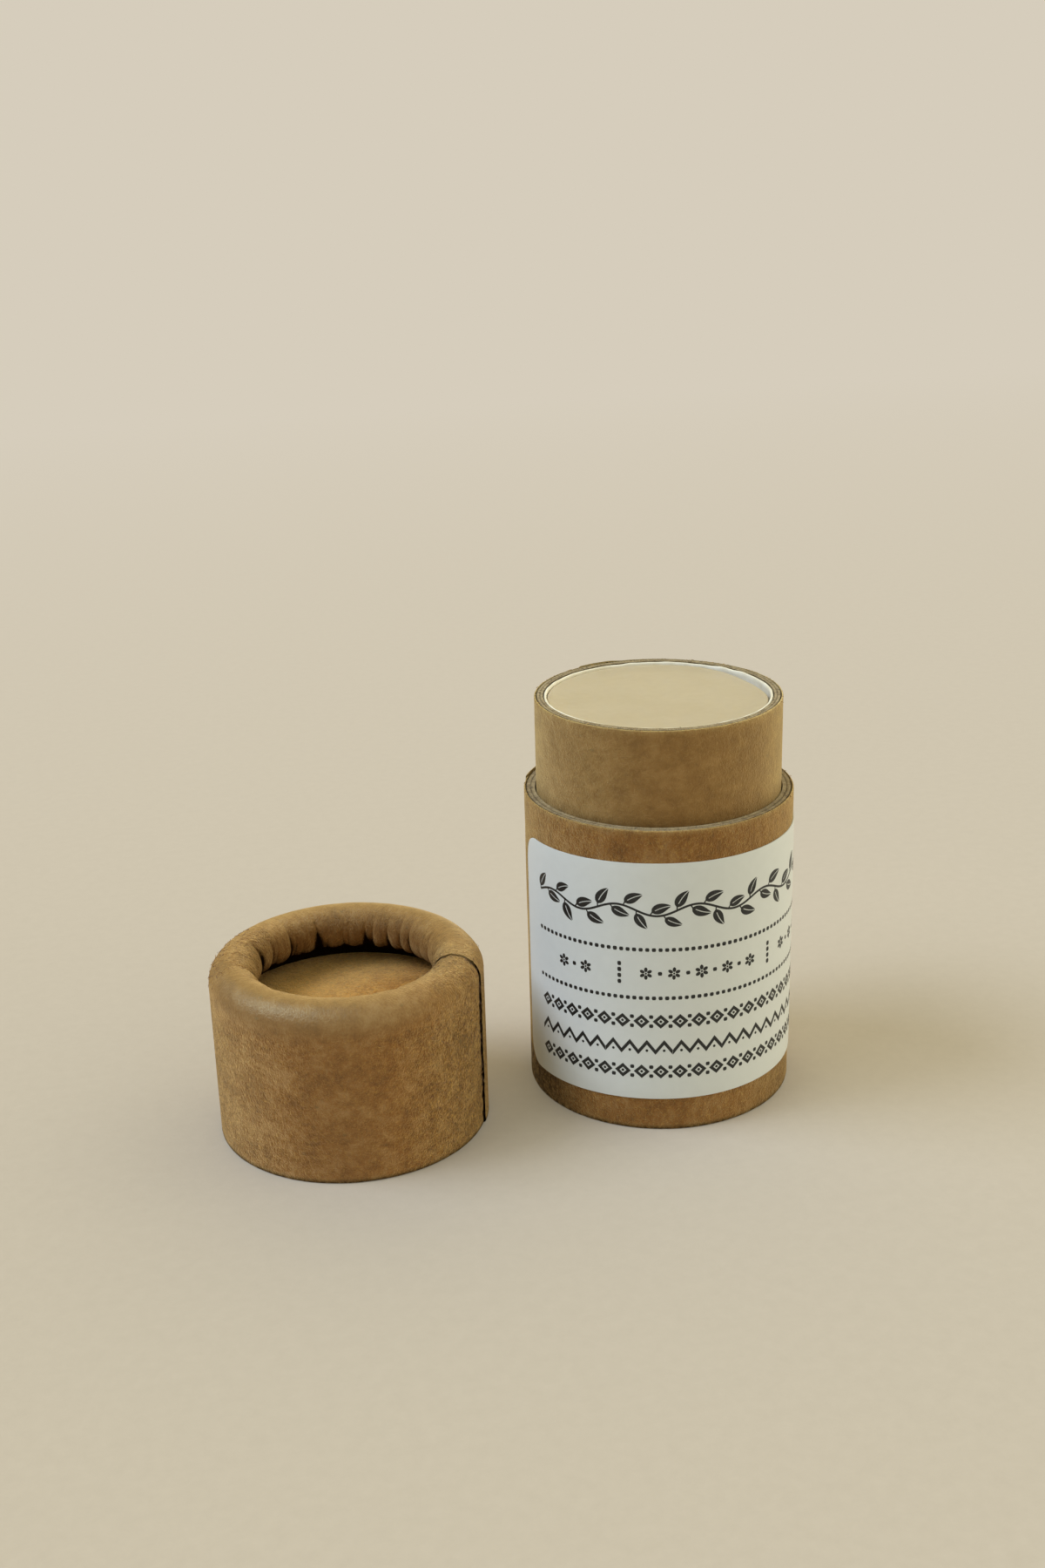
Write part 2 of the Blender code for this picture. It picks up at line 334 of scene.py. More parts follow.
def shaded(finish, relief=None, strength=0.0, deep=0.0, **inputs):
    """Gives a finish its shader, with relief of this depth in millimetres if it has any."""
    tree = finish.node_tree
    if relief:
        inputs["Normal"] = bump(relief, strength, deep)
    add(tree, "OutputMaterial", Surface=add(tree, "BsdfPrincipled", **inputs))
    return finish


def kraft_finish(name, colours, veil, shift, grain=(1.0, 1.0), crinkle=1.0, contrast=1.0, fuzz=1.0, grit=0.0):
    """Unbleached kraft paper: a mottled brown with curled fibres and dark flecks, dull face on, but veiled
    in a paler colour at a grazing eye, because its loose fibres catch the light. Where hands have burnished
    it, it is even, greyer and smooth. Its marks also pale it, as wear and as painted light, and darken it, as
    dirt and as painted shade."""
    finish, tree = new_finish(name)
    burnished = mark(tree, "burnished")
    rough = 1.0 - burnished * 0.75
    furry = rough * rough
    polished = ranged(burnished, 0.3, 1.0)
    place = paper_place(tree, grain, shift=shift)
    mottle = noise(place, 1.3, detail=3.0, rough=0.6)
    speckle = noise(place, 4.5, detail=3.0, rough=0.65)
    tone = noise(place, 0.4) * 0.4 + mottle * 0.56 + speckle * 0.24
    tone = ranged(tone, 0.46, 0.74, -0.5, 0.5) * (rough * 0.6 + 0.4) * contrast + 0.5
    colour = three_tones(tone, 0.0, 0.5, 1.0, colours["dark"], colours["mid"], colours["light"])
    rust = ranged(noise(place, 0.75, twist=0.4), 0.5, 0.72, 0.0, 0.3 * contrast)
    colour = blended(rust, colour, colours["rust"])
    if grit:
        grains = noise(place, 3.6, rough=0.7)
        for low, high, tint in KRAFT_GRIT:
            colour = blended(ranged(grains, low, high, 0.0, grit) * furry, colour, colours[tint])

    relief = speckle * 0.9 + mottle
    for stretch, turn, moved, per_mm, width, gate, amount, tint in KRAFT_HAIRS:
        hairs = fibre_lines(paper_place(tree, stretch, turn, shift + moved), per_mm, width, gate)
        colour = blended(hairs * amount * (furry * fuzz), colour, colours[tint])
        if tint == "fibre":
            relief = relief + hairs * (0.4 * fuzz)
    for turn, per_mm, width in KRAFT_CREASES:
        folds = noise(paper_place(tree, (1.1, 0.75), turn, shift + per_mm), per_mm, detail=1.0, twist=0.8)
        relief = relief + ranged(abs(folds - 0.5), 0.0, width) * (0.42 * crinkle)

    cells = {"Vector": paper_place(tree, (0.8, 1.1), shift=shift), "Scale": 0.75}
    flecks = add(tree, "TexVoronoi", out="Distance", **cells)
    rare = ranged(add(tree, "SeparateColor", Color=flecks.also("Color")), 0.62, 0.7)
    colour = blended(ranged(flecks, 0.16, 0.05) * rare * 0.55, colour, colours["fleck"])
    # Paler where the rubbed mark says: worn edges and lip, and painted light on the disc's far side and on one
    # side of the neck
    colour = blended(mark(tree, "rubbed") * ranged(speckle, 0.35, 0.6, 0.35, 0.9), colour, WORN_AND_LIT_KRAFT)
    colour = blended(polished * 0.32, colour, BURNISHED_KRAFT)
    # Darker where the shaded mark says: dirt and glue, and painted shade in creases, under the lip, at the
    # feet and where the cap shades the base
    shade = mark(tree, "shaded")
    stain = noise(paper_place(tree, shift=shift), 2.6, detail=3.0, rough=0.75)
    shade_and_dirt = shade * ranged(stain, 0.36, 0.56, 0.62, 1.0)
    shade_and_dirt = shade_and_dirt.maths("MAXIMUM", ranged(shade, WHOLLY_SHADED, 1.0))
    colour = blended(shade_and_dirt, colour, SHADE_AND_DIRT_DARK)

    # Pale patches are the fuzzier ones, so they shine more to the side
    lively = ranged(tone, 0.1, 0.9, 0.8, 1.2) * (1.0 - shade_and_dirt)
    return shaded(
        finish, relief, rough * 0.9, 0.06, Base_Color=colour, IOR=1.55,
        Roughness=(mottle - 0.5) * 0.3 * rough + (rough * 0.16 + 0.44),
        Specular_IOR_Level=(burnished * 0.12 + 0.64) * lively,
        Specular_Tint=blended(polished, KRAFT_GLINT, BURNISHED_GLINT),
        Sheen_Weight=lively * (rough.maths("MINIMUM", 1.0) * 0.36 + 0.54),
        Sheen_Roughness=0.55, Sheen_Tint=veil,
    )


def board_finish():
    """Grey-brown chipboard, wound in plies: its sawn ends are pale, furry and ringed by dark glue lines.
    Where the cap's board is marked, it turns dark as painted shade.
    """
    finish, tree = new_finish("cut_chipboard")
    flat, across = paper_place(tree), paper_place(tree, (2.2, 0.5))
    fine = noise(across, 3.6, detail=3.0, rough=0.65)
    tone = ranged(noise(flat, 1.1) * 0.5 + fine * 0.6, 0.35, 0.75)
    colour = three_tones(tone, 0.0, 0.5, 1.0, BOARD_DARK, BOARD_MID, BOARD_LIGHT)
    # Dark at glue lines between plies, and painted shade where the cap's board is marked
    plies = mark(tree, "ply").maths("MULTIPLY", 0.6, clamp=True)
    colour = blended(plies, colour, BOARD_DARKEST)
    colour = blended(fibre_lines(across, 1.6, 0.06, 0.46) * 0.6, colour, BOARD_DARKEST)
    clean = 1.0 - plies
    return shaded(
        finish, fibre_lines(flat, 3.0, 0.04, 0.5) * 0.6 + fine, 0.7, 0.06, Base_Color=colour, Roughness=0.9,
        IOR=1.45, Specular_IOR_Level=clean * 0.5, Sheen_Weight=clean * 0.25, Sheen_Roughness=0.5,
    )


def two_toned(name, tones, per_mm, detail, spread, roughness, relief=None, on_paper=True, **inputs):
    """A finish that drifts from one tone and roughness to another, over this part of a noise's range. relief
    has its own scale and detail, and a strength and a depth in millimetres."""
    finish, tree = new_finish(name)
    place = paper_place(tree) if on_paper else object_place(tree)
    tone = ranged(noise(place, per_mm, detail=detail), *spread)
    inputs["Base_Color"] = blended(tone, *tones)
    inputs["Roughness"] = tone * (roughness[1] - roughness[0]) + roughness[0]
    if relief:
        per_mm, detail, strength, deep = relief
        return shaded(finish, noise(place, per_mm, detail=detail), strength, deep, **inputs)
    return shaded(finish, **inputs)


def greaseproof_finish():
    """Bleached greaseproof paper: hard beaten, so it is smooth, a little waxy, and faintly cloudy."""
    return two_toned(
        "bleached_greaseproof", GREASEPROOF_TONES, 0.8, 3.0, (0.35, 0.65), (0.42, 0.42),
        (3.0, 2.0, 0.25, 0.02), IOR=1.5, Sheen_Weight=0.1,
    )


def label_finish():
    """Coated white label paper: bright, faintly cool and satin, with a fine orange peel."""
    return two_toned(
        "coated_label_paper", LABEL_TONES, 1.2, 3.0, (0.3, 0.7), (0.38, 0.46),
        (2.2, 3.0, 0.2, 0.01), IOR=1.5, Specular_IOR_Level=0.38,
    )


def ink_finish():
    """Black toner: denser than the paper's own gloss, and very slightly uneven."""
    spread = (0.55, 0.8)
    return two_toned("black_print", INK_TONES, 3.0 / MM, 2.0, spread, (0.45, 0.45), on_paper=False, IOR=1.5)


def fibre_finish(name, *tones):
    """Single paper fibres, dull and downy. Each has its own tone."""
    return two_toned(name, tones, 2.5 / MM, 1.0, (0.4, 0.6), (0.7, 0.7), on_paper=False, Sheen_Weight=0.3)


def balm_finish():
    """Poured wax and fat: cream, satin, softly see-through at its skin, with faint clouds and pinholes."""
    finish, tree = new_finish("poured_balm")
    place = object_place(tree)
    clouds = noise(place, 0.16 / MM, detail=3.0, rough=0.6)
    fine = noise(place, 1.4 / MM, detail=3.0)
    pits = add(tree, "TexVoronoi", out="Distance", Vector=place, Scale=0.55 / MM)
    tone = fine * 0.35 + clouds * 0.75
    return shaded(
        finish, fine * 0.35 + ranged(pits, 0.0, 0.07), 0.35, 0.05, IOR=1.44, Specular_IOR_Level=0.4,
        Base_Color=three_tones(tone, 0.35, 0.55, 0.8, BALM_DEEP, BALM_MID, BALM_PALE),
        Roughness=ranged(fine, 0.3, 0.7, 0.34, 0.5),
        Subsurface_Weight=0.35, Subsurface_Scale=0.6 * MM, Subsurface_Radius=(1.0, 0.75, 0.45),
    )


# Shapes

SAME_POINT = 0.0002 * MM
SHARP_FROM = math.radians(52)


def around(centre, radius, turn, height):
    """Places at a radius, a turn and a height about an upright axis."""
    return np.stack([centre[0] + radius * np.cos(turn), centre[1] + radius * np.sin(turn), height], -1)


def arc(centre_r, centre_z, radius, turns):
    """Points round a centre, at angles in degrees from +r towards +z. The radius may differ at each."""
    turns = np.radians(turns)
    return list(zip(centre_r + radius * np.cos(turns), centre_z + radius * np.sin(turns)))


def spaced(outline, step):
    """The same outline with points no further apart than step."""
    points = [np.array(outline[0])]
    for start, end in zip(map(np.array, outline), map(np.array, outline[1:])):
        parts = max(1, math.ceil(math.dist(start, end) / step))
        points += [start + (end - start) * i / parts for i in range(1, parts + 1)]
    return np.array(points)


def lengths_along(path):
    """How far along its path each point lies."""
    return np.concatenate([[0.0], np.cumsum(np.hypot(*np.diff(path, axis=0).T))])


def normals(path):
    """Unit normals of flat points, to the right of their travel: outwards, on the way up a wall."""
    travel = np.gradient(path, axis=0)
    travel /= np.hypot(*travel.T)[:, None]
    return np.stack([travel[:, 1], -travel[:, 0]], axis=1)


def smooth(value, low, high):
    """0 below low, 1 above high, and an easy curve between."""
    share = np.clip((value - low) / (high - low), 0, 1)
    return share * share * (3 - 2 * share)


def bell(value, reach):
    return np.exp(-((value / reach) ** 2))


def off_bearing(bearing, middle):
    """How far a bearing is from another, the short way round."""
    return (bearing - middle + math.pi) % FULL_TURN - math.pi


def beside(bearing, side, reach, much=1.0):
    """This much on one side of a tube, and fading out to both sides of it. Side and reach are in degrees."""
    return much * bell(off_bearing(bearing, math.radians(side)), math.radians(reach))


def waves(count, seed, falloff=1.0):
    """A random curve, about -1 to 1, that closes on itself: returns a function of the turn in radians."""
    draw = np.random.default_rng(seed)
    orders = np.arange(1, count + 1)
    sizes = draw.normal(size=count) / orders**falloff
    phases = draw.uniform(0, FULL_TURN, count)
    scale = 1 / np.sqrt((sizes**2).sum() / 2) / 2

    def value(turn):
        swells = (size * np.sin(order * turn + phase) for order, size, phase in zip(orders, sizes, phases))
        return sum(swells) * scale

    return value


def finished(name, verts, faces, finish, body, node=None, flat_places=None, merge=False):
    """Makes a closed mesh an object of the frame: faces out, smooth, with its own sheet coordinates."""
    mesh = bpy.data.meshes.new(name)
    mesh.from_pydata(verts.reshape(-1, 3).tolist(), [], faces)
    if flat_places is not None:
        layer = mesh.uv_layers.new(name="sheet")
        corner = np.empty(len(mesh.loops), dtype=np.int32)
        mesh.loops.foreach_get("vertex_index", corner)
        layer.uv.foreach_set("vector", flat_places.reshape(-1, 2)[corner].astype(np.float32).ravel())
    bm = bmesh.new()
    bm.from_mesh(mesh)
    if merge:
        bmesh.ops.remove_doubles(bm, verts=bm.verts, dist=SAME_POINT)
    bmesh.ops.recalc_face_normals(bm, faces=bm.faces)
    bm.to_mesh(mesh)
    bm.free()
    mesh.shade_smooth()
    mesh.set_sharp_from_angle(angle=SHARP_FROM)
    mesh.materials.append(finish)
    piece = put_in_scene(name, mesh)
    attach(piece, body)
    if node:
        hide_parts(node)
    return piece


def write_marks(piece, name, values):
    """A number at each point of a piece, for its finish to read."""
    layer = piece.data.attributes.new(name, "FLOAT", "POINT")
    layer.data.foreach_set("value", np.asarray(values, dtype=np.float32).ravel())


def places(mesh):
    """The points of a mesh as rows of an array."""
    flat = np.empty(len(mesh.vertices) * 3)
    mesh.vertices.foreach_get("co", flat)
    return flat.reshape(-1, 3)


def grid_faces(rows, columns, wrap_rows=False, wrap_columns=False):
    """Quads over a grid of points, row by row, joined round in either direction."""
    row = np.arange(rows if wrap_rows else rows - 1)
    column = np.arange(columns if wrap_columns else columns - 1)
    a, b = np.meshgrid(row, column, indexing="ij")
    c, d = (a + 1) % rows, (b + 1) % columns
    quads = np.stack([a * columns + b, c * columns + b, c * columns + d, a * columns + d], -1)
    return [tuple(q) for q in quads.reshape(-1, 4).tolist()]


def sheet_faces(rows, behind):
    """Faces of a closed sheet whose rows of points go up its front and back down its hidden face. behind says
    which point of the front each point of the hidden face lies behind."""
    last = int(max(behind))
    columns = last + 1 + len(behind)
    faces = grid_faces(rows, columns, wrap_columns=True)
    facing = [last + 1 + int(np.abs(np.array(behind) - i).argmin()) for i in range(last + 1)]
    for row in (0, rows - 1):
        for i in range(last):
            corners = (i, i + 1, facing[i + 1], facing[i])
            faces.append(tuple(dict.fromkeys(row * columns + corner for corner in corners)))
    return faces


def turned(name, node, body, outline, centre, finish, step, push=None, pull=None, stations=256):
    """A solid turned about an upright axis from a closed outline, or from one that starts and ends on the
    axis. push moves each point up and pull inwards, by what they work out from its turn, radius and
    height."""
    on_axis = outline[0][0] == 0
    path = spaced(outline, step) if on_axis else spaced(outline + [outline[0]], step)[:-1]
    turn, radius = np.meshgrid(np.linspace(0, FULL_TURN, stations, endpoint=False), path[:, 0], indexing="ij")
    height = np.broadcast_to(path[:, 1], turn.shape)
    if pull:
        radius = radius - pull(turn, radius, height)
    if push:
        height = height + push(turn, radius, height)
    verts = around(centre, radius, turn, height)
    along = np.broadcast_to(lengths_along(path), turn.shape)
    flat_places = verts[..., :2] if on_axis else np.stack([turn * path[:, 0].max(), along], -1)
    faces = grid_faces(stations, len(path), wrap_rows=True, wrap_columns=not on_axis)
    return finished(name, verts, faces, finish, body, node, flat_places, merge=on_axis)


# Wound papers

WRAP_PAPER = 0.12 * MM
NECK_PAPER = 0.08 * MM
WRAP_LAP = 2.4 * MM
WRAP_STEP = 0.3 * MM
RIM_RUB = 0.13 * MM
WALL_SWELL = 0.025 * MM
WORN_EDGE = 0.14 * MM
WORN_SEAM = 0.06 * MM
HAIR = 0.01 * MM
# The dark band at a wrap's foot, and the width of the dark line along the cap's seam: soiled edge and glue,
# and painted shade
FOOT_SHADE_AND_SOIL = 0.9
SEAM_STAIN_AND_SHADE = 0.42 * MM

# Of the points up the face, the share that the hidden face has
HIDDEN_STEP = 4

# Where each wrap's outer end lies, as an azimuth
CAP_SEAM = math.radians(334)
NECK_SEAM = math.radians(112)
BASE_SEAM = math.radians(152)


def lapped_sheet(
    name, node, body, size, face, paper, seam, push, wear, stations, finish, climb, way=1, stain=None,
    hidden_end=False,
):
    """A sheet whose face follows a path of (radius, height) points, once round and over its own start.

    It climbs on itself in the last part of the turn and ends at the seam with an open, ragged edge. way is
    the sense in which it is wound. From a point's bearing and its distance along the path, push gives how
    far it stands out, and the wear function how dark, pale and smooth it is: dirt and wear, and also painted
    shade and painted light. The stain function gives how wide the line is that follows the seam's edge, of
    glue and of painted shade under the lapped edge. A hidden end of the path isn't rubbed."""
    widest = face[:, 0].max()
    lap = WRAP_LAP / widest
    reach = FULL_TURN + lap
    near_seam = np.linspace(-0.3 * MM, 0.8 * MM, 34) / widest + lap
    near_end = reach - np.linspace(0, 0.2 * MM, 5) / widest
    turns = np.unique(np.concatenate([np.linspace(0, reach, stations), near_seam, near_end]))
    along = lengths_along(face)
    up = along / along[-1] * FULL_TURN
    ragged = (waves(110, 7, falloff=0.2)(up) * 0.13 + waves(6, 17)(up) * 0.08) * MM / widest
    rise = (paper + HAIR) * smooth(turns, FULL_TURN * (1 - climb), FULL_TURN * 0.997)
    grid_turn, grid_along = np.meshgrid(turns, along, indexing="ij")
    bearing = seam + way * (grid_turn - reach)
    out = rise[:, None] + push(bearing, grid_along)
    azimuth = bearing + ragged * smooth(grid_turn, reach - 0.6 * MM / widest, reach)

    from_edge = grid_along if hidden_end else np.minimum(grid_along, along[-1] - grid_along)
    from_end = (reach - grid_turn) * widest
    painted_shade, paled, burnished = wear(bearing, grid_along)
    rubbed = np.maximum(np.maximum(np.exp(-from_edge / WORN_EDGE), np.exp(-from_end / WORN_SEAM)), paled)
    # A soiled cut edge at the foot, and painted shade where the paper meets the floor
    shade_and_dirt = FOOT_SHADE_AND_SOIL * (1 - smooth(grid_along, 0.16 * MM, 0.34 * MM))
    if stain:
        wide = stain(grid_along)
        past_seam = (grid_turn - lap) * widest
        # The line past the seam is glue and painted shade under the lapped edge, and the cut end itself is
        # painted dark as shade
        line = smooth(past_seam, -0.2 * MM, -0.05 * MM) * (1 - smooth(past_seam, wide * 0.55, wide + HAIR))
        line = np.maximum(line, 1 - smooth(from_end, 0.0, 0.03 * MM))
        shade_and_dirt = np.maximum(shade_and_dirt, line * smooth(wide, 0.0, 0.06 * MM))
    wears = {"rubbed": rubbed, "shaded": np.maximum(shade_and_dirt, painted_shade), "burnished": burnished}

    # The hidden face has fewer points along the path, so its row is shorter than the front's
    last = len(along) - 1
    behind = np.unique(np.concatenate([np.arange(0, last, HIDDEN_STEP), [1, last - 1, last]]))[::-1]
    both = np.concatenate([np.arange(last + 1), behind])
    inset = np.repeat([0.0, paper], [last + 1, len(behind)])
    off = out[:, both] - inset
    side = normals(face)[both]
    height = np.maximum(face[both, 1] + side[:, 1] * off, face[:, 1].min())
    verts = around(size.centre, face[both, 0] + side[:, 0] * off, azimuth[:, both], height)
    # The hidden face's own place on the flat sheet is beyond the front's
    beyond = np.where(inset > 0, along[-1] * 1.5, 0)
    flat_places = np.stack([grid_turn[:, both] * widest, grid_along[:, both] + beyond], -1)
    faces = sheet_faces(len(turns), behind)
    piece = finished(name, verts, faces, finish, body, node, flat_places)
    for kind, values in wears.items():
        write_marks(piece, kind, values[:, both])


def gentle_wall(seed):
    """The slight waves of hand-wound paper."""
    slow = waves(9, seed)
    quick = waves(60, seed + 1, falloff=0.4)

    def push(turn, along):
        lean = turn + 0.15 * np.sin(along / (4 * MM))
        return WALL_SWELL * (0.7 * slow(lean) + 0.35 * quick(lean + along / (60 * MM)) - 0.6)

    return push


# Pieces of the tube

# How deep the furry unevenness of a sawn board end is, and the groove at a glue line
SAW_DEPTH = 0.035 * MM
PLY_GROOVE = 0.03 * MM
PLY_LINE = 0.09 * MM

# The paper liner's wall, and the side where the balm has shrunk away from it, in degrees
LINER_PAPER = 0.2 * MM
LINER_RUB = 0.05 * MM
SHRUNK_SIDE = 6
SHRUNK_REACH = 28
BALM_SHRUNK = 0.36 * MM
BALM_EDGE = 0.12 * MM

# The balm's top: its hollow in the middle, its rise at the edge, and the swirls of its skin
BALM_DISH = 0.1 * MM
BALM_RISE = 0.2 * MM
BALM_SWIRL = 0.03 * MM

# Gaps that the frame has between its nodes
GLUE_GAP = 0.05 * MM
PRESS_GAP = 0.1 * MM

# Painted shade on the neck, just over the base's rim, and its painted lit side: middle, reach and how much
NECK_FOOT_SHADE = 0.24
NECK_FOOT_SHADE_HEIGHT = 1.1 * MM
NECK_LIT_SIDE = (218, 22, 0.2)

# Painted shade low on the base. Towards the cap it is the cap's painted shadow, evenly dark over a span to
# both sides, then fading; the other shaded side has its middle, reach and how much.
CAP_SHADOW_SIDE = 182
CAP_SHADOW_FADE = (10, 50)
CAP_SHADOW = 0.84
SHADED_LOW_SIDE = (322, 30, 0.5)
CAP_SHADOW_HEIGHTS = (2.4 * MM, 3.8 * MM)
BASE_GREYED = 0.1


def make_kraft_wraps(kraft_neck, kraft_base):
    """The neck is painted darker where it leaves the base, as shade, and paler on one side, as light. The base
    is painted darker low down towards its cap, as the cap's shadow, and on one more side, as shade.
    """
    neck, base = measure("neck_tube_wrap"), measure("base_tube_wrap")

    def neck_wear(bearing, along):
        over_rim = along - (base.top - neck.foot)
        # Painted shade low on the neck, and painted light on one side
        foot_shade = NECK_FOOT_SHADE * (1 - smooth(over_rim, 0.0, NECK_FOOT_SHADE_HEIGHT))
        return foot_shade, beside(bearing, *NECK_LIT_SIDE), 0 * bearing

    def base_wear(bearing, along):
        # The cap's painted shadow low on the base, painted shade on one more side, and the base paper's own
        # even greying
        off = np.degrees(np.abs(off_bearing(bearing, math.radians(CAP_SHADOW_SIDE))))
        painted_shade = CAP_SHADOW * (1 - smooth(off, *CAP_SHADOW_FADE)) + beside(bearing, *SHADED_LOW_SIDE)
        painted_shade = np.maximum(painted_shade * (1 - smooth(along, *CAP_SHADOW_HEIGHTS)), BASE_GREYED)
        return painted_shade, 0 * bearing, 0 * bearing

    for part, size, seam, paper, seed, wear, finish in (
        ("neck", neck, NECK_SEAM, NECK_PAPER, 11, neck_wear, kraft_neck),
        ("base", base, BASE_SEAM, WRAP_PAPER, 23, base_wear, kraft_base),
    ):
        centre_r = size.radius - RIM_RUB
        path = arc(centre_r, size.foot + RIM_RUB, RIM_RUB, np.linspace(-80, 0, 5))
        path = spaced(path + arc(centre_r, size.top - RIM_RUB, RIM_RUB, np.linspace(0, 80, 5)), WRAP_STEP)
        lapped_sheet(
            part + "_kraft_paper", part + "_tube_wrap", "tube", size, path, paper, seam, gentle_wall(seed),
            wear, 420, finish, climb=0.025,
        )


def sawn_ends(foot, top, inside, outside, seed):
    """Pushes a board's cut ends up and down: saw marks across them, and a groove at each glue line."""
    marks = waves(220, seed, falloff=0.15)
    slow = waves(12, seed + 5)
    middle = (inside + outside) / 2

    def push(turn, radius, height):
        share = (radius - inside) / (outside - inside)
        ridges = marks(turn + 0.03 * (share - 0.5)) * np.sin(math.pi * np.clip(share, 0, 1))
        amount = SAW_DEPTH * (0.35 * ridges + 0.4 * slow(turn) - 1)
        amount = amount - PLY_GROOVE * bell(radius - middle, 0.05 * MM)
        at_top = smooth(height, top - 0.05 * MM, top)
        at_foot = 1 - smooth(height, foot, foot + 0.05 * MM)
        return amount * (at_top - at_foot * 0.5)

    return push


def make_boards(board):
    """Each tube's section has its ends cut into steps across, so that they can be roughened."""
    for part, within, gap, seed in (
        ("base", "stop_ring", PRESS_GAP, 31), ("neck", "neck_liner", GLUE_GAP, 47)
    ):
        node = part + "_tube_board"
        size = measure(node)
        foot, top, outside = size.foot, size.top, size.radius
        inside = measure(within).radius + gap
        across = np.linspace(inside, outside, 9)
        outline = [(r, foot) for r in across] + [(r, top) for r in across[::-1]]
        saw = sawn_ends(foot, top, inside, outside, seed)
        piece = turned(
            part + "_board_tube", node, "tube", outline, size.centre, board, 6 * MM, saw, stations=512
        )
        # How near each point lies to a glue line between plies, for the board's own colour
        plies = [(inside + outside) / 2, outside] + ([inside] if part == "neck" else [])
        radius = np.hypot(*(places(piece.data)[:, :2] - size.centre).T)
        near = np.min([np.abs(radius - ply) for ply in plies], axis=0)
        write_marks(piece, "ply", np.clip(1 - near / PLY_LINE, 0, 1))


def make_liner(greaseproof):
    size = measure("neck_liner")
    foot, top, outside = size.foot, size.top, size.radius
    inside = outside - LINER_PAPER
    edge = waves(40, 71, falloff=0.5)

    def push(turn, radius, height):
        return (0.03 * edge(turn) - 0.03) * MM * smooth(height, top - 0.4 * MM, top)

    outline = [(inside, foot), (outside, foot), (outside, top - LINER_RUB), (outside - LINER_RUB, top)]
    outline += [(inside + LINER_RUB, top), (inside, top - LINER_RUB)]
    turned(
        "neck_greaseproof", "neck_liner", "tube", outline, size.centre, greaseproof, 0.25 * MM,
        push, stations=360,
    )


def make_balm(wax):
    """Filled hot and set: faintly dished in the middle, drawn up a hair at its edge, where it cooled first,
    and shrunk away from the liner on one side."""
    size = measure("balm_stick")
    slow = waves(5, 83)
    skin = waves(24, 85, falloff=0.7)
    radius, top = size.radius + 0.03 * MM, size.top

    def push(turn, r, height):
        share = r / radius
        dish = -BALM_DISH * (1 - share**2)
        rise = BALM_RISE * (1 - 0.9 * beside(turn, SHRUNK_SIDE, SHRUNK_REACH)) * bell(radius - r, 0.8 * MM)
        swirl = slow(turn + share * 2.0) * np.sin(math.pi * share) + 0.4 * skin(turn + 3 * share) * share
        return (dish + rise + BALM_SWIRL * swirl - 0.02 * MM) * smooth(height, top - 1.0 * MM, top)

    def pull(turn, r, height):
        shrunk = beside(turn, SHRUNK_SIDE, SHRUNK_REACH) * (1 + 0.12 * skin(turn))
        return BALM_SHRUNK * shrunk * (r / radius) ** 5 * smooth(height, top - 1.6 * MM, top - 0.3 * MM)

    edge = arc(radius - BALM_EDGE, top - BALM_EDGE, BALM_EDGE, np.linspace(0, 90, 6))
    outline = [(0.0, size.foot), (radius, size.foot)] + edge + [(0.0, top)]
    turned("balm_block", "balm_stick", "piston", outline, size.centre, wax, 0.35 * MM, push, pull)


# Pieces of the cap. Sides and reaches are in degrees.

CAP_LIP_WIDTH = 3.76 * MM
PLEAT_PITCH = 1.25 * MM
PLEAT_DEPTH = 0.5 * MM

# The gathers that face the camera: an azimuth and a share of the full depth. The rest are drawn at random.
SEEN_PLEATS = (
    (136, 0.5), (129, 0.35), (121, 0.55), (113, 0.35), (101, 1.0), (93, 0.4), (84, 0.55), (75, 0.3),
    (66, 1.0), (57, 0.4), (50, 0.8), (40, 0.45), (32, 0.6),
)
ROLL_TURN = 285
ROLL_TUCK = 0.05 * MM
BOARD_SPARE = 0.3 * MM
BOARD_TUCK = 0.7 * MM

# How pale use has left the lip, the side that fingers have rubbed smooth, the side painted darker as shade,
# and the ones that they have left furry. Each side has its middle, its reach and how much.
LIP_PALED = 0.14
GRIPPED_SIDE = (262, 42, 0.5)
LIP_SHADED_SIDE = (190, 34, 0.16)
FURRY_SIDES = ((160, 30, 0.7), (326, 34, 1.1))

# The sunk disc: its slight waves and hollow, and the way across it from its front, painted darker as shade, to
# its back, painted paler as light
DISC_SWELL = 0.04 * MM
DISC_DISH = 0.05 * MM
DISC_INWARDS = (-0.5, 0.87)


def roll_centre(size):
    roll = CAP_LIP_WIDTH / 2
    return size.radius - roll, size.top - roll, roll


def roll_path(size):
    """Up the cap's wall, over the rolled lip and in under itself, and which point starts the roll."""
    centre_r, centre_z, roll = roll_centre(size)
    path = arc(size.radius - RIM_RUB, size.foot + RIM_RUB, RIM_RUB, np.linspace(-80, 0, 5))
    path = spaced(path + [(size.radius, centre_z)], WRAP_STEP)
    turns = np.linspace(0, ROLL_TURN, 57)[1:]
    curl = arc(centre_r, centre_z, roll - ROLL_TUCK * smooth(turns, 190, ROLL_TURN), turns)
    return np.concatenate([path, curl]), len(path)


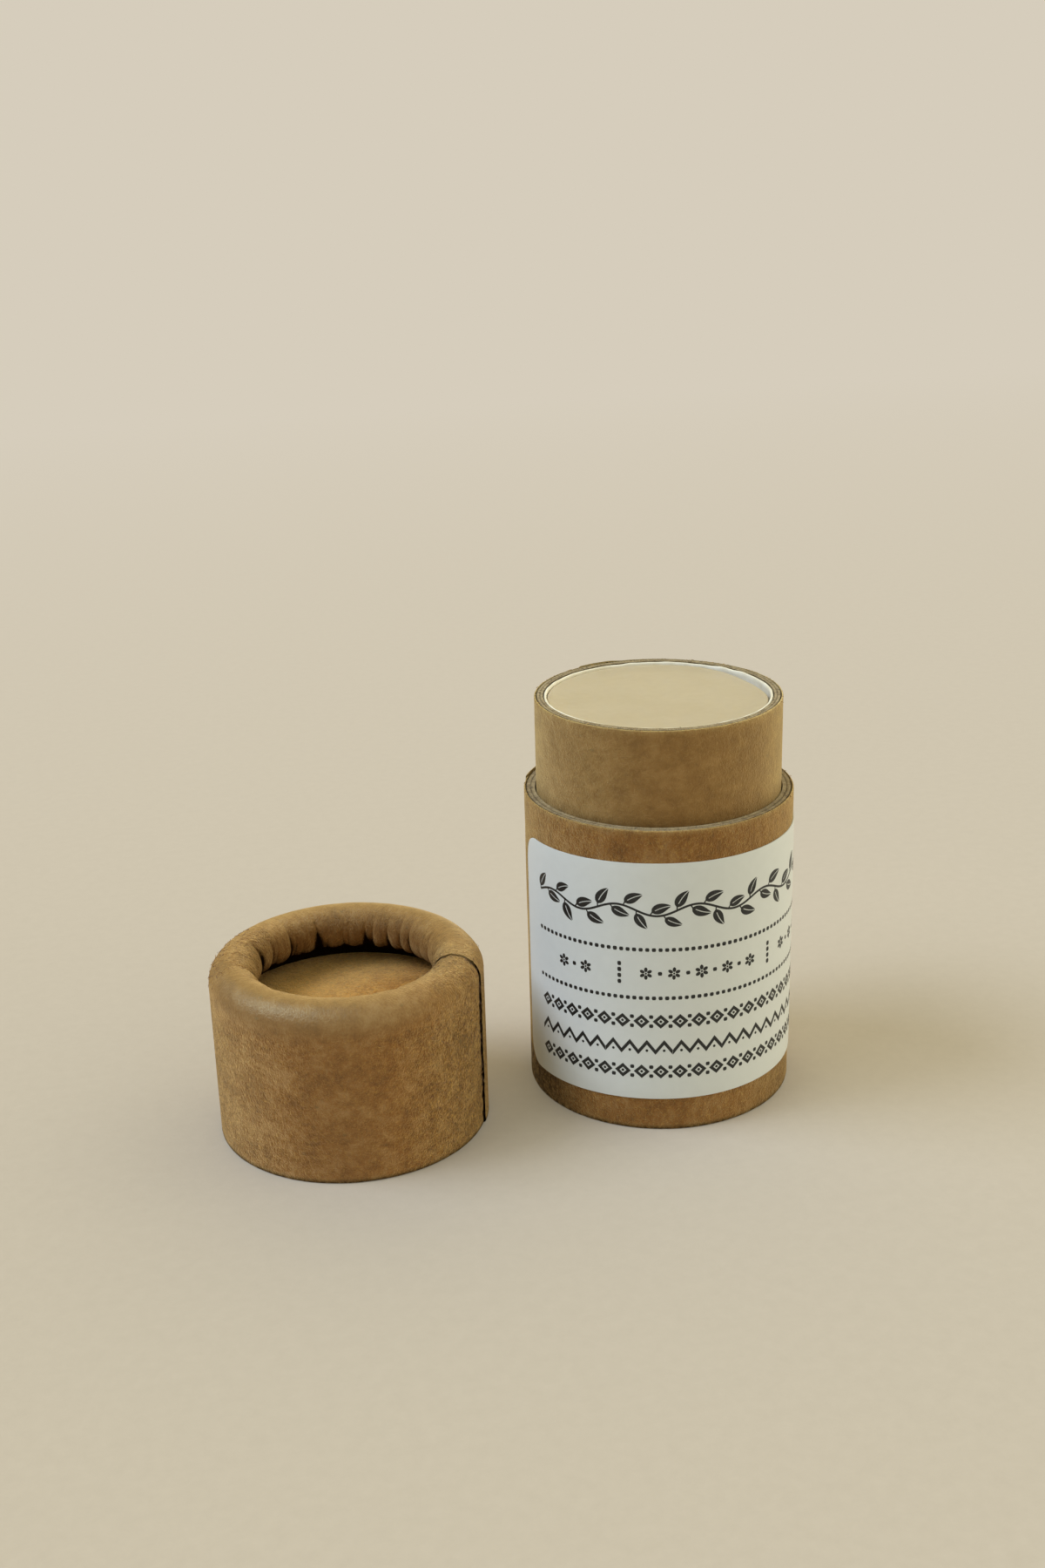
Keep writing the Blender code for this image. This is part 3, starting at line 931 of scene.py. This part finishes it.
def make_cap_board(board):
    """The board under the cap's paper: its wall and, as a hollow curl, the lip. Its inner wall darkens
    towards the disc, as painted shade of the hollow under the lip.
    """
    size = measure("cap_tube_wrap")
    centre_r, centre_z, roll = roll_centre(size)
    foot, outside = size.foot + 0.02 * MM, size.radius - BOARD_SPARE
    inside = measure("cap_sleeve").radius + GLUE_GAP
    turns = np.linspace(0, 200, 30)
    curl = roll - BOARD_SPARE - BOARD_TUCK * smooth(turns, 80, 170)
    outer = arc(centre_r, centre_z, curl, turns)
    inner = arc(centre_r, centre_z, curl - (outside - inside), turns)
    outline = [(inside, foot), (outside, foot)] + outer + inner[::-1]
    piece = turned("cap_board_tube", "cap_tube_board", "cap", outline, size.centre, board, 0.8 * MM)
    # Painted shade: the inner wall darkens towards the disc
    glued = measure("cap_end_facing").foot
    write_marks(piece, "ply", 1.7 * smooth(places(piece.data)[:, 2], glued - 1.0 * MM, glued))


def gathers(size, path, roll_starts):
    """Where the paper is turned in, it gathers, and more so the further in it goes. Returns two functions of
    bearing and distance along the path: how far the face stands out, and how it is worn and shaded, with
    painted shade in its creases and under the roll."""
    along = lengths_along(path)
    shoulder, roll_length = along[roll_starts], along[-1] - along[roll_starts]
    inner_radius = size.radius - CAP_LIP_WIDTH
    draw = np.random.default_rng(5)
    seen, seen_depths = np.array(SEEN_PLEATS).T
    seen = np.radians(seen)
    left = FULL_TURN - np.ptp(seen)
    count = round(left * inner_radius / PLEAT_PITCH)
    spacing = draw.uniform(0.5, 1.6, count + 1)
    unseen = seen.max() + np.cumsum(spacing)[:-1] / spacing.sum() * left
    edges = np.concatenate([seen, unseen])
    depths = np.concatenate([seen_depths, draw.uniform(0.25, 1.0, count)])
    leans = draw.normal(0, 0.03, len(edges))
    starts = draw.uniform(0.26, 0.48, len(edges)) - 0.06 * depths
    widths = 0.01 + 0.022 * depths
    wall = gentle_wall(61)
    crease = waves(150, 67, falloff=0.2)
    uneven = waves(36, 68, falloff=0.3)

    def folds(turn, share):
        total = np.zeros_like(turn)
        for edge, depth, lean, start, width in zip(edges, depths, leans, starts, widths):
            off = off_bearing(turn, edge + lean * share * 2)
            opened = smooth(share, start, start + 0.4)
            total += depth * opened * np.exp(-np.abs(off) / (width * (0.5 + 1.6 * opened)))
        return np.clip(total, 0, 1.2)

    def push(turn, distance):
        share = (distance - shoulder) / roll_length
        fine = crease(turn + 0.02 * np.sin(distance / (0.9 * MM))) * smooth(share, 0.05, 0.5) * 0.01 * MM
        return wall(turn, distance) * (1 - smooth(share, 0.4, 0.9)) - PLEAT_DEPTH * folds(turn, share) + fine

    def wear(turn, distance):
        share = (distance - shoulder) / roll_length
        # Painted shade: dark in the creases of the gathers and in the hollow under the roll
        crease_shade = smooth(folds(turn, share), 0.08, 0.6) * (0.45 + 0.6 * smooth(share, 0.42, 0.6))
        under_roll_shade = 0.38 * smooth(share, 0.36, 0.58) + smooth(share + 0.03 * uneven(turn), 0.63, 0.86)
        # Painted shade on the lip's left side
        shaded_side = beside(turn, *LIP_SHADED_SIDE) * smooth(share, -0.2, 0.1)
        painted_shade = np.clip(np.maximum(np.maximum(crease_shade, under_roll_shade), shaded_side), 0, 1)
        paled = LIP_PALED * smooth(share, -0.15, 0.1) * (1 - smooth(share, 0.4, 0.6))
        rubbed = smooth(distance, shoulder - CAP_LIP_WIDTH * 0.7, shoulder + CAP_LIP_WIDTH * 0.25)
        rubbed = rubbed * (1 - 0.5 * smooth(share, 0.28, 0.45))
        gripped = beside(turn, *GRIPPED_SIDE) * (share < 0)
        furry = sum(beside(turn, *side) for side in FURRY_SIDES)
        return painted_shade, paled, np.maximum(rubbed, gripped) - furry

    return push, wear


def make_cap(kraft, lit_kraft_disc, board):
    size = measure("cap_tube_wrap")
    path, roll_starts = roll_path(size)
    push, wear = gathers(size, path, roll_starts)
    shoulder = lengths_along(path)[roll_starts]
    uneven = waves(40, 29, falloff=0.4)

    def stain(along):
        """Wide at the foot, a thin line over the lip, and gone inside it."""
        share = along / shoulder
        wide = 1.3 - 0.4 * smooth(share, 0.0, 0.5) - 0.75 * smooth(share, 0.75, 1.0)
        wide = wide - 0.15 * smooth(share, 1.05, 1.25)
        return SEAM_STAIN_AND_SHADE * np.maximum(wide * (1 + 0.5 * uneven(share * FULL_TURN / 2)), 0)

    lapped_sheet(
        "cap_kraft_paper", "cap_tube_wrap", "cap", size, path, WRAP_PAPER, CAP_SEAM, push, wear, 700, kraft,
        climb=0.06, way=-1, stain=stain, hidden_end=True,
    )
    make_cap_board(board)
    disc = measure("cap_end_facing")
    foot, top, radius = disc.foot, disc.top, disc.radius
    slow = waves(6, 91)

    def dished(turn, r, height):
        share = r / radius
        return (DISC_SWELL * slow(turn) * share - DISC_DISH * (1 - share**2)) * smooth(height, foot, top)

    outline = [(0.0, foot), (radius, foot), (radius, top), (0.0, top)]
    piece = turned(
        "cap_disc_paper", "cap_end_facing", "cap", outline, disc.centre, lit_kraft_disc, 0.5 * MM, dished
    )
    # Painted shade at the front, under the lip, and painted light, paler, further in
    deep = (places(piece.data)[:, :2] - disc.centre) @ DISC_INWARDS
    write_marks(piece, "rubbed", 0.6 * smooth(deep, -2 * MM, 5 * MM))
    write_marks(piece, "shaded", 0.5 * (1 - smooth(deep, -4 * MM, 4.5 * MM)))


# The label

LABEL_CORNER = 1.8 * MM
LABEL_START = math.radians(177.7)
LABEL_LENGTH = 57.15 * MM
LABEL_PAPER = 0.08 * MM
LABEL_OFF_WRAP = 0.012 * MM
LABEL_RUB = 0.02 * MM
LABEL_DROOP = 0.45 * MM
DROOP_SPAN = (-4 * MM, 14 * MM)
LABEL_SWELL = 0.008 * MM
LABEL_LEVELS = 44
INK_SUNK = 0.03 * MM
INK_PROUD = 0.006 * MM

label_swell = waves(14, 97)


def label_face():
    """Centre, outer radius, foot and top of the label as it lies on the base's paper."""
    low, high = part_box("label")
    face = measure("base_tube_wrap")
    face.radius += LABEL_OFF_WRAP + LABEL_PAPER
    face.foot, face.top = low[2], high[2]
    return face


def on_label(face, along, height, lift):
    """Places on the flat label: along from its left end, up from its foot, and out from its face. Stuck on by
    hand, it droops a little at its left end."""
    bearing = LABEL_START + along / face.radius
    droop = LABEL_DROOP * (1 - smooth(along, *DROOP_SPAN))
    radius = face.radius + LABEL_SWELL * label_swell(bearing) + lift
    return around(face.centre, radius, bearing, face.foot + height - droop)


def make_label(paper):
    """The bent sheet, with rubbed edges and round corners, lying a hair off the wrap."""
    face = label_face()
    tall = face.top - face.foot
    corner = LABEL_CORNER * (1 - np.cos(np.radians(np.linspace(0, 90, 17))))[:-1]
    straight = np.linspace(LABEL_CORNER, LABEL_LENGTH - LABEL_CORNER, 400)
    along = np.concatenate([corner, straight, (LABEL_LENGTH - corner)[::-1]])
    from_end = np.minimum(np.minimum(along, LABEL_LENGTH - along), LABEL_CORNER)
    cut = LABEL_CORNER - np.sqrt(np.maximum(LABEL_CORNER**2 - (LABEL_CORNER - from_end) ** 2, 0))
    levels = np.linspace(0, 1, LABEL_LEVELS)
    inner = np.repeat([0.0, 1.0], LABEL_LEVELS)
    edge = np.zeros(2 * LABEL_LEVELS)
    edge[[0, LABEL_LEVELS - 1]] = LABEL_RUB
    height = cut[:, None] + (tall - 2 * cut[:, None]) * np.concatenate([levels, levels[::-1]])
    grid_along = np.broadcast_to(along[:, None], height.shape)
    verts = on_label(face, grid_along, height, -LABEL_PAPER * inner - edge)
    faces = sheet_faces(len(along), range(LABEL_LEVELS)[::-1])
    flat_places = np.stack([grid_along, height + inner * tall * 1.5], -1)
    finished("label_sheet", verts, faces, paper, "tube", "label", flat_places)


# Printed ornaments. Each is a flat closed prism, drawn in metres, whose height from 0 to 1 becomes the ink's.


def motif(name, strips):
    """A closed solid from strips. A strip is two rows of flat points that face each other."""
    verts, faces = [], []
    for strip in strips:
        start = len(verts)
        for left, right in zip(*strip):
            verts += [(*left, 0.0), (*right, 0.0), (*right, 1.0), (*left, 1.0)]
        faces += [tuple(start + corner for corner in face) for face in sheet_faces(len(strip[0]), (1, 0))]
    mesh = bpy.data.meshes.new(name)
    mesh.from_pydata(verts, [], faces)
    return bpy.data.objects.new(name, mesh)


def blob(x, y, wide, tall, power=2.0, turn=0.0):
    """One strip in the shape of a dot: round, or squarer with a higher power."""
    across = np.linspace(-1, 1, 9)
    half = (1 - np.abs(across) ** power) ** (1 / power) * 0.97 + 0.03
    c, s = math.cos(turn), math.sin(turn)
    sides = []
    for sign in (1, -1):
        flat_x, flat_y = across * wide / 2, sign * half * tall / 2
        sides.append(np.stack([x + flat_x * c - flat_y * s, y + flat_x * s + flat_y * c], -1))
    return tuple(sides)


def stroke(points, wide):
    """A line of even width through flat points."""
    side = normals(np.asarray(points, dtype=float)) * wide / 2
    return points - side, points + side


def leaf_motif():
    """A pointed leaf on a short stalk, split by its vein, rising to the right from the stem."""
    count, length, tilt = 12, 1.45 * MM, math.radians(50)
    t = np.linspace(0, 1, count)
    swing = tilt - 0.5 * t
    step = length / (count - 1)
    spine = np.stack([np.cumsum(np.cos(swing)) * step, np.cumsum(np.sin(swing)) * step + 0.14 * MM], -1)
    side = np.stack([-np.sin(swing), np.cos(swing)], -1)
    belly = (0.34 * MM * np.sin(math.pi * t**0.75) ** 0.9 + 0.02 * MM)[:, None]
    vein = 0.03 * MM
    halves = [(spine + side * vein * sign, spine + side * (belly + vein) * sign) for sign in (1, -1)]
    stalk = stroke(np.array([(0, 0), spine[0] * 0.6, spine[0], spine[2]]), 0.1 * MM)
    return motif("leaf", halves + [stalk])


def flower_motif():
    turns = [i * math.pi / 3 + math.pi / 6 for i in range(6)]
    out = 0.32 * MM
    petals = [blob(out * math.cos(t), out * math.sin(t), 0.4 * MM, 0.26 * MM, turn=t) for t in turns]
    return motif("flower", petals + [blob(0, 0, 0.16 * MM, 0.16 * MM)])


def lozenge_motif():
    """An open lozenge with a dot in it."""
    wide, tall, line = 0.62 * MM, 0.58 * MM, 0.24 * MM
    corners = np.array([(-wide, 0), (0, tall), (wide, 0), (0, -tall), (-wide, 0)])
    share = np.linspace(0, 1, 4)[:, None]
    outer = [start * (1 - share) + end * share for start, end in zip(corners, corners[1:])]
    strips = [(side, side * (1 - 1.45 * line / wide)) for side in outer]
    return motif("lozenge", strips + [blob(0, 0, 0.22 * MM, 0.22 * MM)])


def chevron_motif():
    """One tooth of a zigzag, with a dot under its peak."""
    half, tall = 0.65 * MM, 0.42 * MM
    points = np.array([(-half, -tall), (-half / 2, 0), (0, tall), (half / 2, 0), (half, -tall)])
    tooth = (points + (0, 0.12 * MM), points - (0, 0.28 * MM))
    return motif("chevron", [tooth, blob(0, -0.36 * MM, 0.22 * MM, 0.22 * MM)])


def new_tree(name, **sockets):
    """A geometry tree with these inputs, those inputs as values, and its output."""
    tree = bpy.data.node_groups.new(name, "GeometryNodeTree")
    tree.interface.new_socket("Geometry", in_out="OUTPUT", socket_type="NodeSocketGeometry")
    for label, kind in sockets.items():
        tree.interface.new_socket(label, in_out="INPUT", socket_type="NodeSocket" + kind)
    given = tree.nodes.new("NodeGroupInput").outputs
    return tree, [Value(tree, given[label]) for label in sockets], tree.nodes.new("NodeGroupOutput").inputs[0]


def grown(tree, **inputs):
    """Runs a geometry tree once and returns the mesh that it makes."""
    holder = put_in_scene(tree.name, bpy.data.meshes.new(tree.name))
    modifier = holder.modifiers.new(tree.name, "NODES")
    modifier.node_group = tree
    for item in tree.interface.items_tree:
        if item.in_out == "INPUT":
            modifier[item.identifier] = inputs[item.name]
    graph = bpy.context.evaluated_depsgraph_get()
    mesh = bpy.data.meshes.new_from_object(holder.evaluated_get(graph))
    bpy.data.objects.remove(holder)
    return mesh


def drawn(tree, low, high, seed):
    """A random number for each copy."""
    return add(tree, "FunctionNodeRandomValue", {"data_type": "FLOAT"}, 1, _2=low, _3=high, Seed=seed)


def shape_of(tree, thing):
    return add(tree, "GeometryNodeObjectInfo", {"transform_space": "ORIGINAL"}, "Geometry", Object=thing)


def strew(tree, out, points, shape, turn, size, finish):
    """Ends a tree with copies of a shape on points, made real and given their finish."""
    placed = {"Points": points, "Instance": shape, "Rotation": turn, "Scale": size}
    spread = add(tree, "GeometryNodeInstanceOnPoints", **placed)
    real = add(tree, "GeometryNodeRealizeInstances", Geometry=spread)
    tree.links.new(add(tree, "GeometryNodeSetMaterial", Geometry=real, Material=finish).socket, out)


def rows_tree():
    """Rows of one motif: straight or on a wave, with every other one mirrored and all a little uneven."""
    tree, given, out = new_tree(
        "motif_rows", Motif="Object", Across="Int", Rows="Int", Pitch="Float", Gap="Float", Swell="Float",
        Wave="Float", Mirror="Float", Wobble="Float", Seed="Int", Ink="Material",
    )
    shape, across, rows, pitch, gap, swell, wave, mirror, wobble, seed, ink = given
    line = add(tree, "GeometryNodeMeshLine", {"mode": "OFFSET"}, Count=across * rows, Offset=(0.0, 0.0, 0.0))
    index = add(tree, "GeometryNodeInputIndex")
    column = index.maths("MODULO", across)
    row = ((index + 0.5) / across).maths("FLOOR")
    x = column * pitch
    phase = x * FULL_TURN / wave
    y = row * gap + phase.maths("SINE") * swell
    slope = (phase.maths("COSINE") * (swell * FULL_TURN / wave)).maths("ARCTANGENT")
    place = add(tree, "CombineXYZ", X=x, Y=y)
    points = add(tree, "GeometryNodeSetPosition", Geometry=line, Position=place)
    bigger, askew = (drawn(tree, -1.0, 1.0, seed + salt) * wobble for salt in (0, 1))
    size = bigger + 1.0
    flip = size * (1.0 - column.maths("MODULO", 2.0) * mirror * 2.0)
    turn = add(tree, "CombineXYZ", Z=slope + askew)
    sized = add(tree, "CombineXYZ", X=size, Y=flip, Z=1.0)
    strew(tree, out, points, shape_of(tree, shape), turn, sized, ink)
    return tree


# Layout of the print in millimetres: along from the label's left end and up from its foot
PRINT_LEFT = 2.75
PRINT_RIGHT = 54.4
GARLAND_HEIGHT = 15.6
GARLAND_WAVE = 0.42
GARLAND_WAVE_LENGTH = 6.0
LEAF_PITCH = 1.0
STEM_WIDTH = 0.17
RULES = (12.45, 8.5)
RULE_PITCH = 0.49
DIVIDERS = (10.43, 22.85, 35.3, 46.6)
DIVIDER_HEIGHT = 9.77
FLOWER_HEIGHT = 10.52
FLOWER_PITCH = 2.1
FLOWER_MARGIN = 1.6
ORNAMENT_ROWS = ((6.56, "lozenge", 1.45), (4.48, "chevron", 1.3), (2.34, "lozenge", 1.45))
ORNAMENT_INDENT = 0.65
ORNAMENT_DOTS = 0.38


def make_print(ink):
    """A garland, rules of dots, flowers and border rows, where such a label has its words."""
    face = label_face()
    tree = rows_tree()
    shapes = {made.name: made for made in (
        leaf_motif(), flower_motif(), lozenge_motif(), chevron_motif(),
        motif("square_dot", [blob(0, 0, 0.33 * MM, 0.3 * MM, power=4.0)]),
        motif("upright_dot", [blob(0, 0, 0.31 * MM, 0.34 * MM, power=4.0)]),
    )}
    wide = PRINT_RIGHT - PRINT_LEFT
    printed = []

    def row(shape, left, height, across, pitch, wobble, rows=1, gap=0.0, swell=0.0, wave=1.0, mirror=0.0):
        mesh = grown(
            tree, Motif=shapes[shape], Across=across, Rows=rows, Pitch=pitch * MM, Gap=gap * MM,
            Swell=swell * MM, Wave=wave * MM, Mirror=mirror, Wobble=wobble, Seed=len(printed), Ink=ink,
        )
        printed.append((mesh, left, height))

    for height in RULES:
        row("square_dot", PRINT_LEFT, height, int(wide / RULE_PITCH) + 1, RULE_PITCH, 0.04)
    for along in DIVIDERS:
        row("upright_dot", along, DIVIDER_HEIGHT, 1, 1.0, 0.04, rows=4, gap=RULE_PITCH)
    for left, right in zip((PRINT_LEFT,) + DIVIDERS, DIVIDERS + (PRINT_RIGHT,)):
        count = max(int((right - left - FLOWER_MARGIN) / FLOWER_PITCH), 1)
        start = (left + right) / 2 - (count - 1) * FLOWER_PITCH / 2
        row("flower", start, FLOWER_HEIGHT, count, FLOWER_PITCH, 0.05)
        row("square_dot", start + FLOWER_PITCH / 2, FLOWER_HEIGHT, count - 1, FLOWER_PITCH, 0.02)
    wavy = {"swell": GARLAND_WAVE, "wave": GARLAND_WAVE_LENGTH, "mirror": 1.0}
    row("leaf", PRINT_LEFT, GARLAND_HEIGHT, int(wide / LEAF_PITCH) - 1, LEAF_PITCH, 0.07, **wavy)
    for height, shape, pitch in ORNAMENT_ROWS:
        count = int((wide - 0.8) / pitch) + 1
        left = PRINT_LEFT + ORNAMENT_INDENT
        row(shape, left, height, count, pitch, 0.015)
        if shape == "lozenge":
            dots = {"rows": 2, "gap": -2 * ORNAMENT_DOTS}
            row("square_dot", left + pitch / 2, height + ORNAMENT_DOTS, count - 1, pitch, 0.02, **dots)
    x = np.linspace(0, wide - 1.2, 600)
    stem = np.stack([x, GARLAND_WAVE * np.sin(x * FULL_TURN / GARLAND_WAVE_LENGTH)], -1) * MM
    printed.append((motif("stem", [stroke(stem, STEM_WIDTH * MM)]).data, PRINT_LEFT, GARLAND_HEIGHT))

    verts, faces = [], []
    for mesh, left, height in printed:
        start = sum(len(block) for block in verts)
        faces += [tuple(start + v for v in polygon.vertices) for polygon in mesh.polygons]
        x, y, level = places(mesh).T
        lift = level * (INK_SUNK + INK_PROUD) - INK_SUNK
        verts.append(on_label(face, x + left * MM, y + height * MM, lift))
    finished("label_print", np.concatenate(verts), faces, ink, "tube")


# Loose fibres

FIBRE_WIDTH = 0.028 * MM

# Which points of the cap's path carry fibres: from this one on, and short of the roll's end by these many
PAST_FOOT = 6
SEAM_SHORT = 24
LIP_SHORT = 28

# The cap's furry places: first and last azimuth in degrees, fibres to a square millimetre, and their length
# in millimetres
FURRY_PLACES = (
    ("side", 292, 331, 12, 0.42),
    ("lip_right", 312, 360, 8, 0.36),
    ("lip_left", 135, 185, 8, 0.36),
)


def fibres_tree():
    """Short curled fibres scattered over a carrier, each lying down or standing off in its own direction."""
    tree, given, out = new_tree(
        "loose_fibres", Carrier="Object", Density="Float", Length="Float", Least="Float", Most="Float",
        Seed="Int", Fibre="Material",
    )
    carrier, density, length, least, most, seed, fibre = given
    scatter = {"Mesh": shape_of(tree, carrier), "Density": density, "Seed": seed}
    points = add(tree, "GeometryNodeDistributePointsOnFaces", out="Points", **scatter)
    middle = add(tree, "CombineXYZ", X=length * 0.16, Z=length * 0.45)
    end = add(tree, "CombineXYZ", X=length * 0.05, Z=length)
    ends = {"Start": (0.0, 0.0, 0.0), "Middle": middle, "End": end}
    curl = add(tree, "GeometryNodeCurveQuadraticBezier", Resolution=4, **ends)
    section = {"Resolution": 4, "Radius": FIBRE_WIDTH / 2}
    section = add(tree, "GeometryNodeCurvePrimitiveCircle", {"mode": "RADIUS"}, **section)
    strand = add(tree, "GeometryNodeCurveToMesh", Curve=curl, Profile_Curve=section, Fill_Caps=True)
    lean, spin = drawn(tree, least, most, 11), drawn(tree, 0.0, FULL_TURN, 12)
    turn = points.also("Rotation")
    for part in ({"Z": spin}, {"Y": lean}):
        local = add(tree, "FunctionNodeEulerToRotation", Euler=add(tree, "CombineXYZ", **part))
        own = {"Rotation": turn, "Rotate_By": local}
        turn = add(tree, "FunctionNodeRotateRotation", {"rotation_space": "LOCAL"}, **own)
    strew(tree, out, points, strand, turn, drawn(tree, 0.4, 1.25, 13), fibre)
    return tree


def band(size, path, first, last, stations):
    """An open strip that carries fibres: part of a turn of a path of (radius, height) points."""
    path = np.array(path)
    turn, radius = np.meshgrid(np.linspace(first, last, stations), path[:, 0], indexing="ij")
    verts = around(size.centre, radius, turn, np.broadcast_to(path[:, 1], turn.shape))
    mesh = bpy.data.meshes.new("carrier")
    mesh.from_pydata(verts.reshape(-1, 3).tolist(), [], grid_faces(stations, len(path)))
    return bpy.data.objects.new("carrier", mesh)


def make_fibres(kraft_fibre, seam_fibre, board_fibre):
    """Each tuft has its place, what it grows on, its fibres to a square millimetre, their length in
    millimetres, their least and most lean, and their finish."""
    tree = fibres_tree()
    cap = measure("cap_tube_wrap")
    path, roll_starts = roll_path(cap)
    edge = 0.05 * MM / cap.radius
    seam = band(cap, path[PAST_FOOT:-SEAM_SHORT:2], CAP_SEAM - 3 * edge, CAP_SEAM + edge, 3)
    tufts = [("cap_seam", seam, 34, 0.44, 0.9, 1.5, seam_fibre)]
    for place, first, last, density, length in FURRY_PLACES:
        across = path[PAST_FOOT:roll_starts:3] if place == "side" else path[roll_starts:-LIP_SHORT:2]
        carrier = band(cap, across, math.radians(first), math.radians(last), 40)
        tufts.append(("cap_" + place, carrier, density, length, 1.25, 1.56, kraft_fibre))
    for node, kind, steps, tuft in (
        ("_tube_wrap", "_rim", ((0.13, 0.0), (0.02, 0.04)), (26, 0.17, 0.9, 1.5, kraft_fibre)),
        ("_tube_board", "_cut", ((0.5, 0.03), (0.0, 0.03)), (16, 0.18, 1.25, 1.55, board_fibre)),
    ):
        for part in ("neck", "base"):
            size = measure(part + node)
            edge = [(size.radius - inwards * MM, size.top - down * MM) for inwards, down in steps]
            tufts.append((part + kind, band(size, edge, 0, FULL_TURN, 180)) + tuft)
    for seed, (place, carrier, density, length, least, most, finish) in enumerate(tufts):
        mesh = grown(
            tree, Carrier=carrier, Density=density / MM**2, Length=length * MM, Least=least, Most=most,
            Seed=seed, Fibre=finish,
        )
        mesh.name = place + "_fibres"
        mesh.shade_smooth()
        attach(put_in_scene(mesh.name, mesh), "cap" if place.startswith("cap") else "tube")


place_camera()
hang_window()
light_room()
lay_floor()

board = board_finish()
greaseproof = greaseproof_finish()
make_kraft_wraps(
    kraft_finish(
        "kraft_paper_of_neck", NECK_COLOURS, NECK_VEIL, 13.0, grain=(0.7, 0.75), crinkle=0.5, contrast=0.6,
        fuzz=0.45,
    ),
    kraft_finish(
        "kraft_paper_of_base", KRAFT_COLOURS, BASE_VEIL, 29.0, grain=(1.25, 0.7), crinkle=0.9, contrast=0.75,
        fuzz=0.8, grit=0.2,
    ),
)
make_boards(board)
make_liner(greaseproof)
make_balm(balm_finish())
make_cap(
    kraft_finish(
        "kraft_paper_of_cap", KRAFT_COLOURS, KRAFT_VEIL, 0.0, crinkle=1.8, contrast=1.15, fuzz=1.3, grit=0.5
    ),
    kraft_finish("kraft_paper_of_disc", LIT_DISC_COLOURS, KRAFT_VEIL, 41.0, grain=(2.1, 2.1), grit=0.8),
    board,
)
make_label(label_finish())
make_print(ink_finish())
make_fibres(
    fibre_finish("loose_kraft_fibre", KRAFT_COLOURS["dark"], KRAFT_COLOURS["fibre"]),
    fibre_finish("glued_kraft_fibre", KRAFT_COLOURS["fleck"], KRAFT_COLOURS["dark"]),
    fibre_finish("loose_board_fibre", BOARD_DARK, BOARD_LIGHT),
)

# The hidden pieces show as their own solids
HIDDEN = (
    (board, ("stop_ring", "piston_collar", "piston_disc", "cap_end_board")),
    (greaseproof, ("piston_facing", "cap_end_liner", "cap_sleeve")),
)
for finish, nodes in HIDDEN:
    for node in nodes:
        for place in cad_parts[node].material_slots:
            place.material = finish

bpy.context.scene.view_settings.view_transform = "Standard"
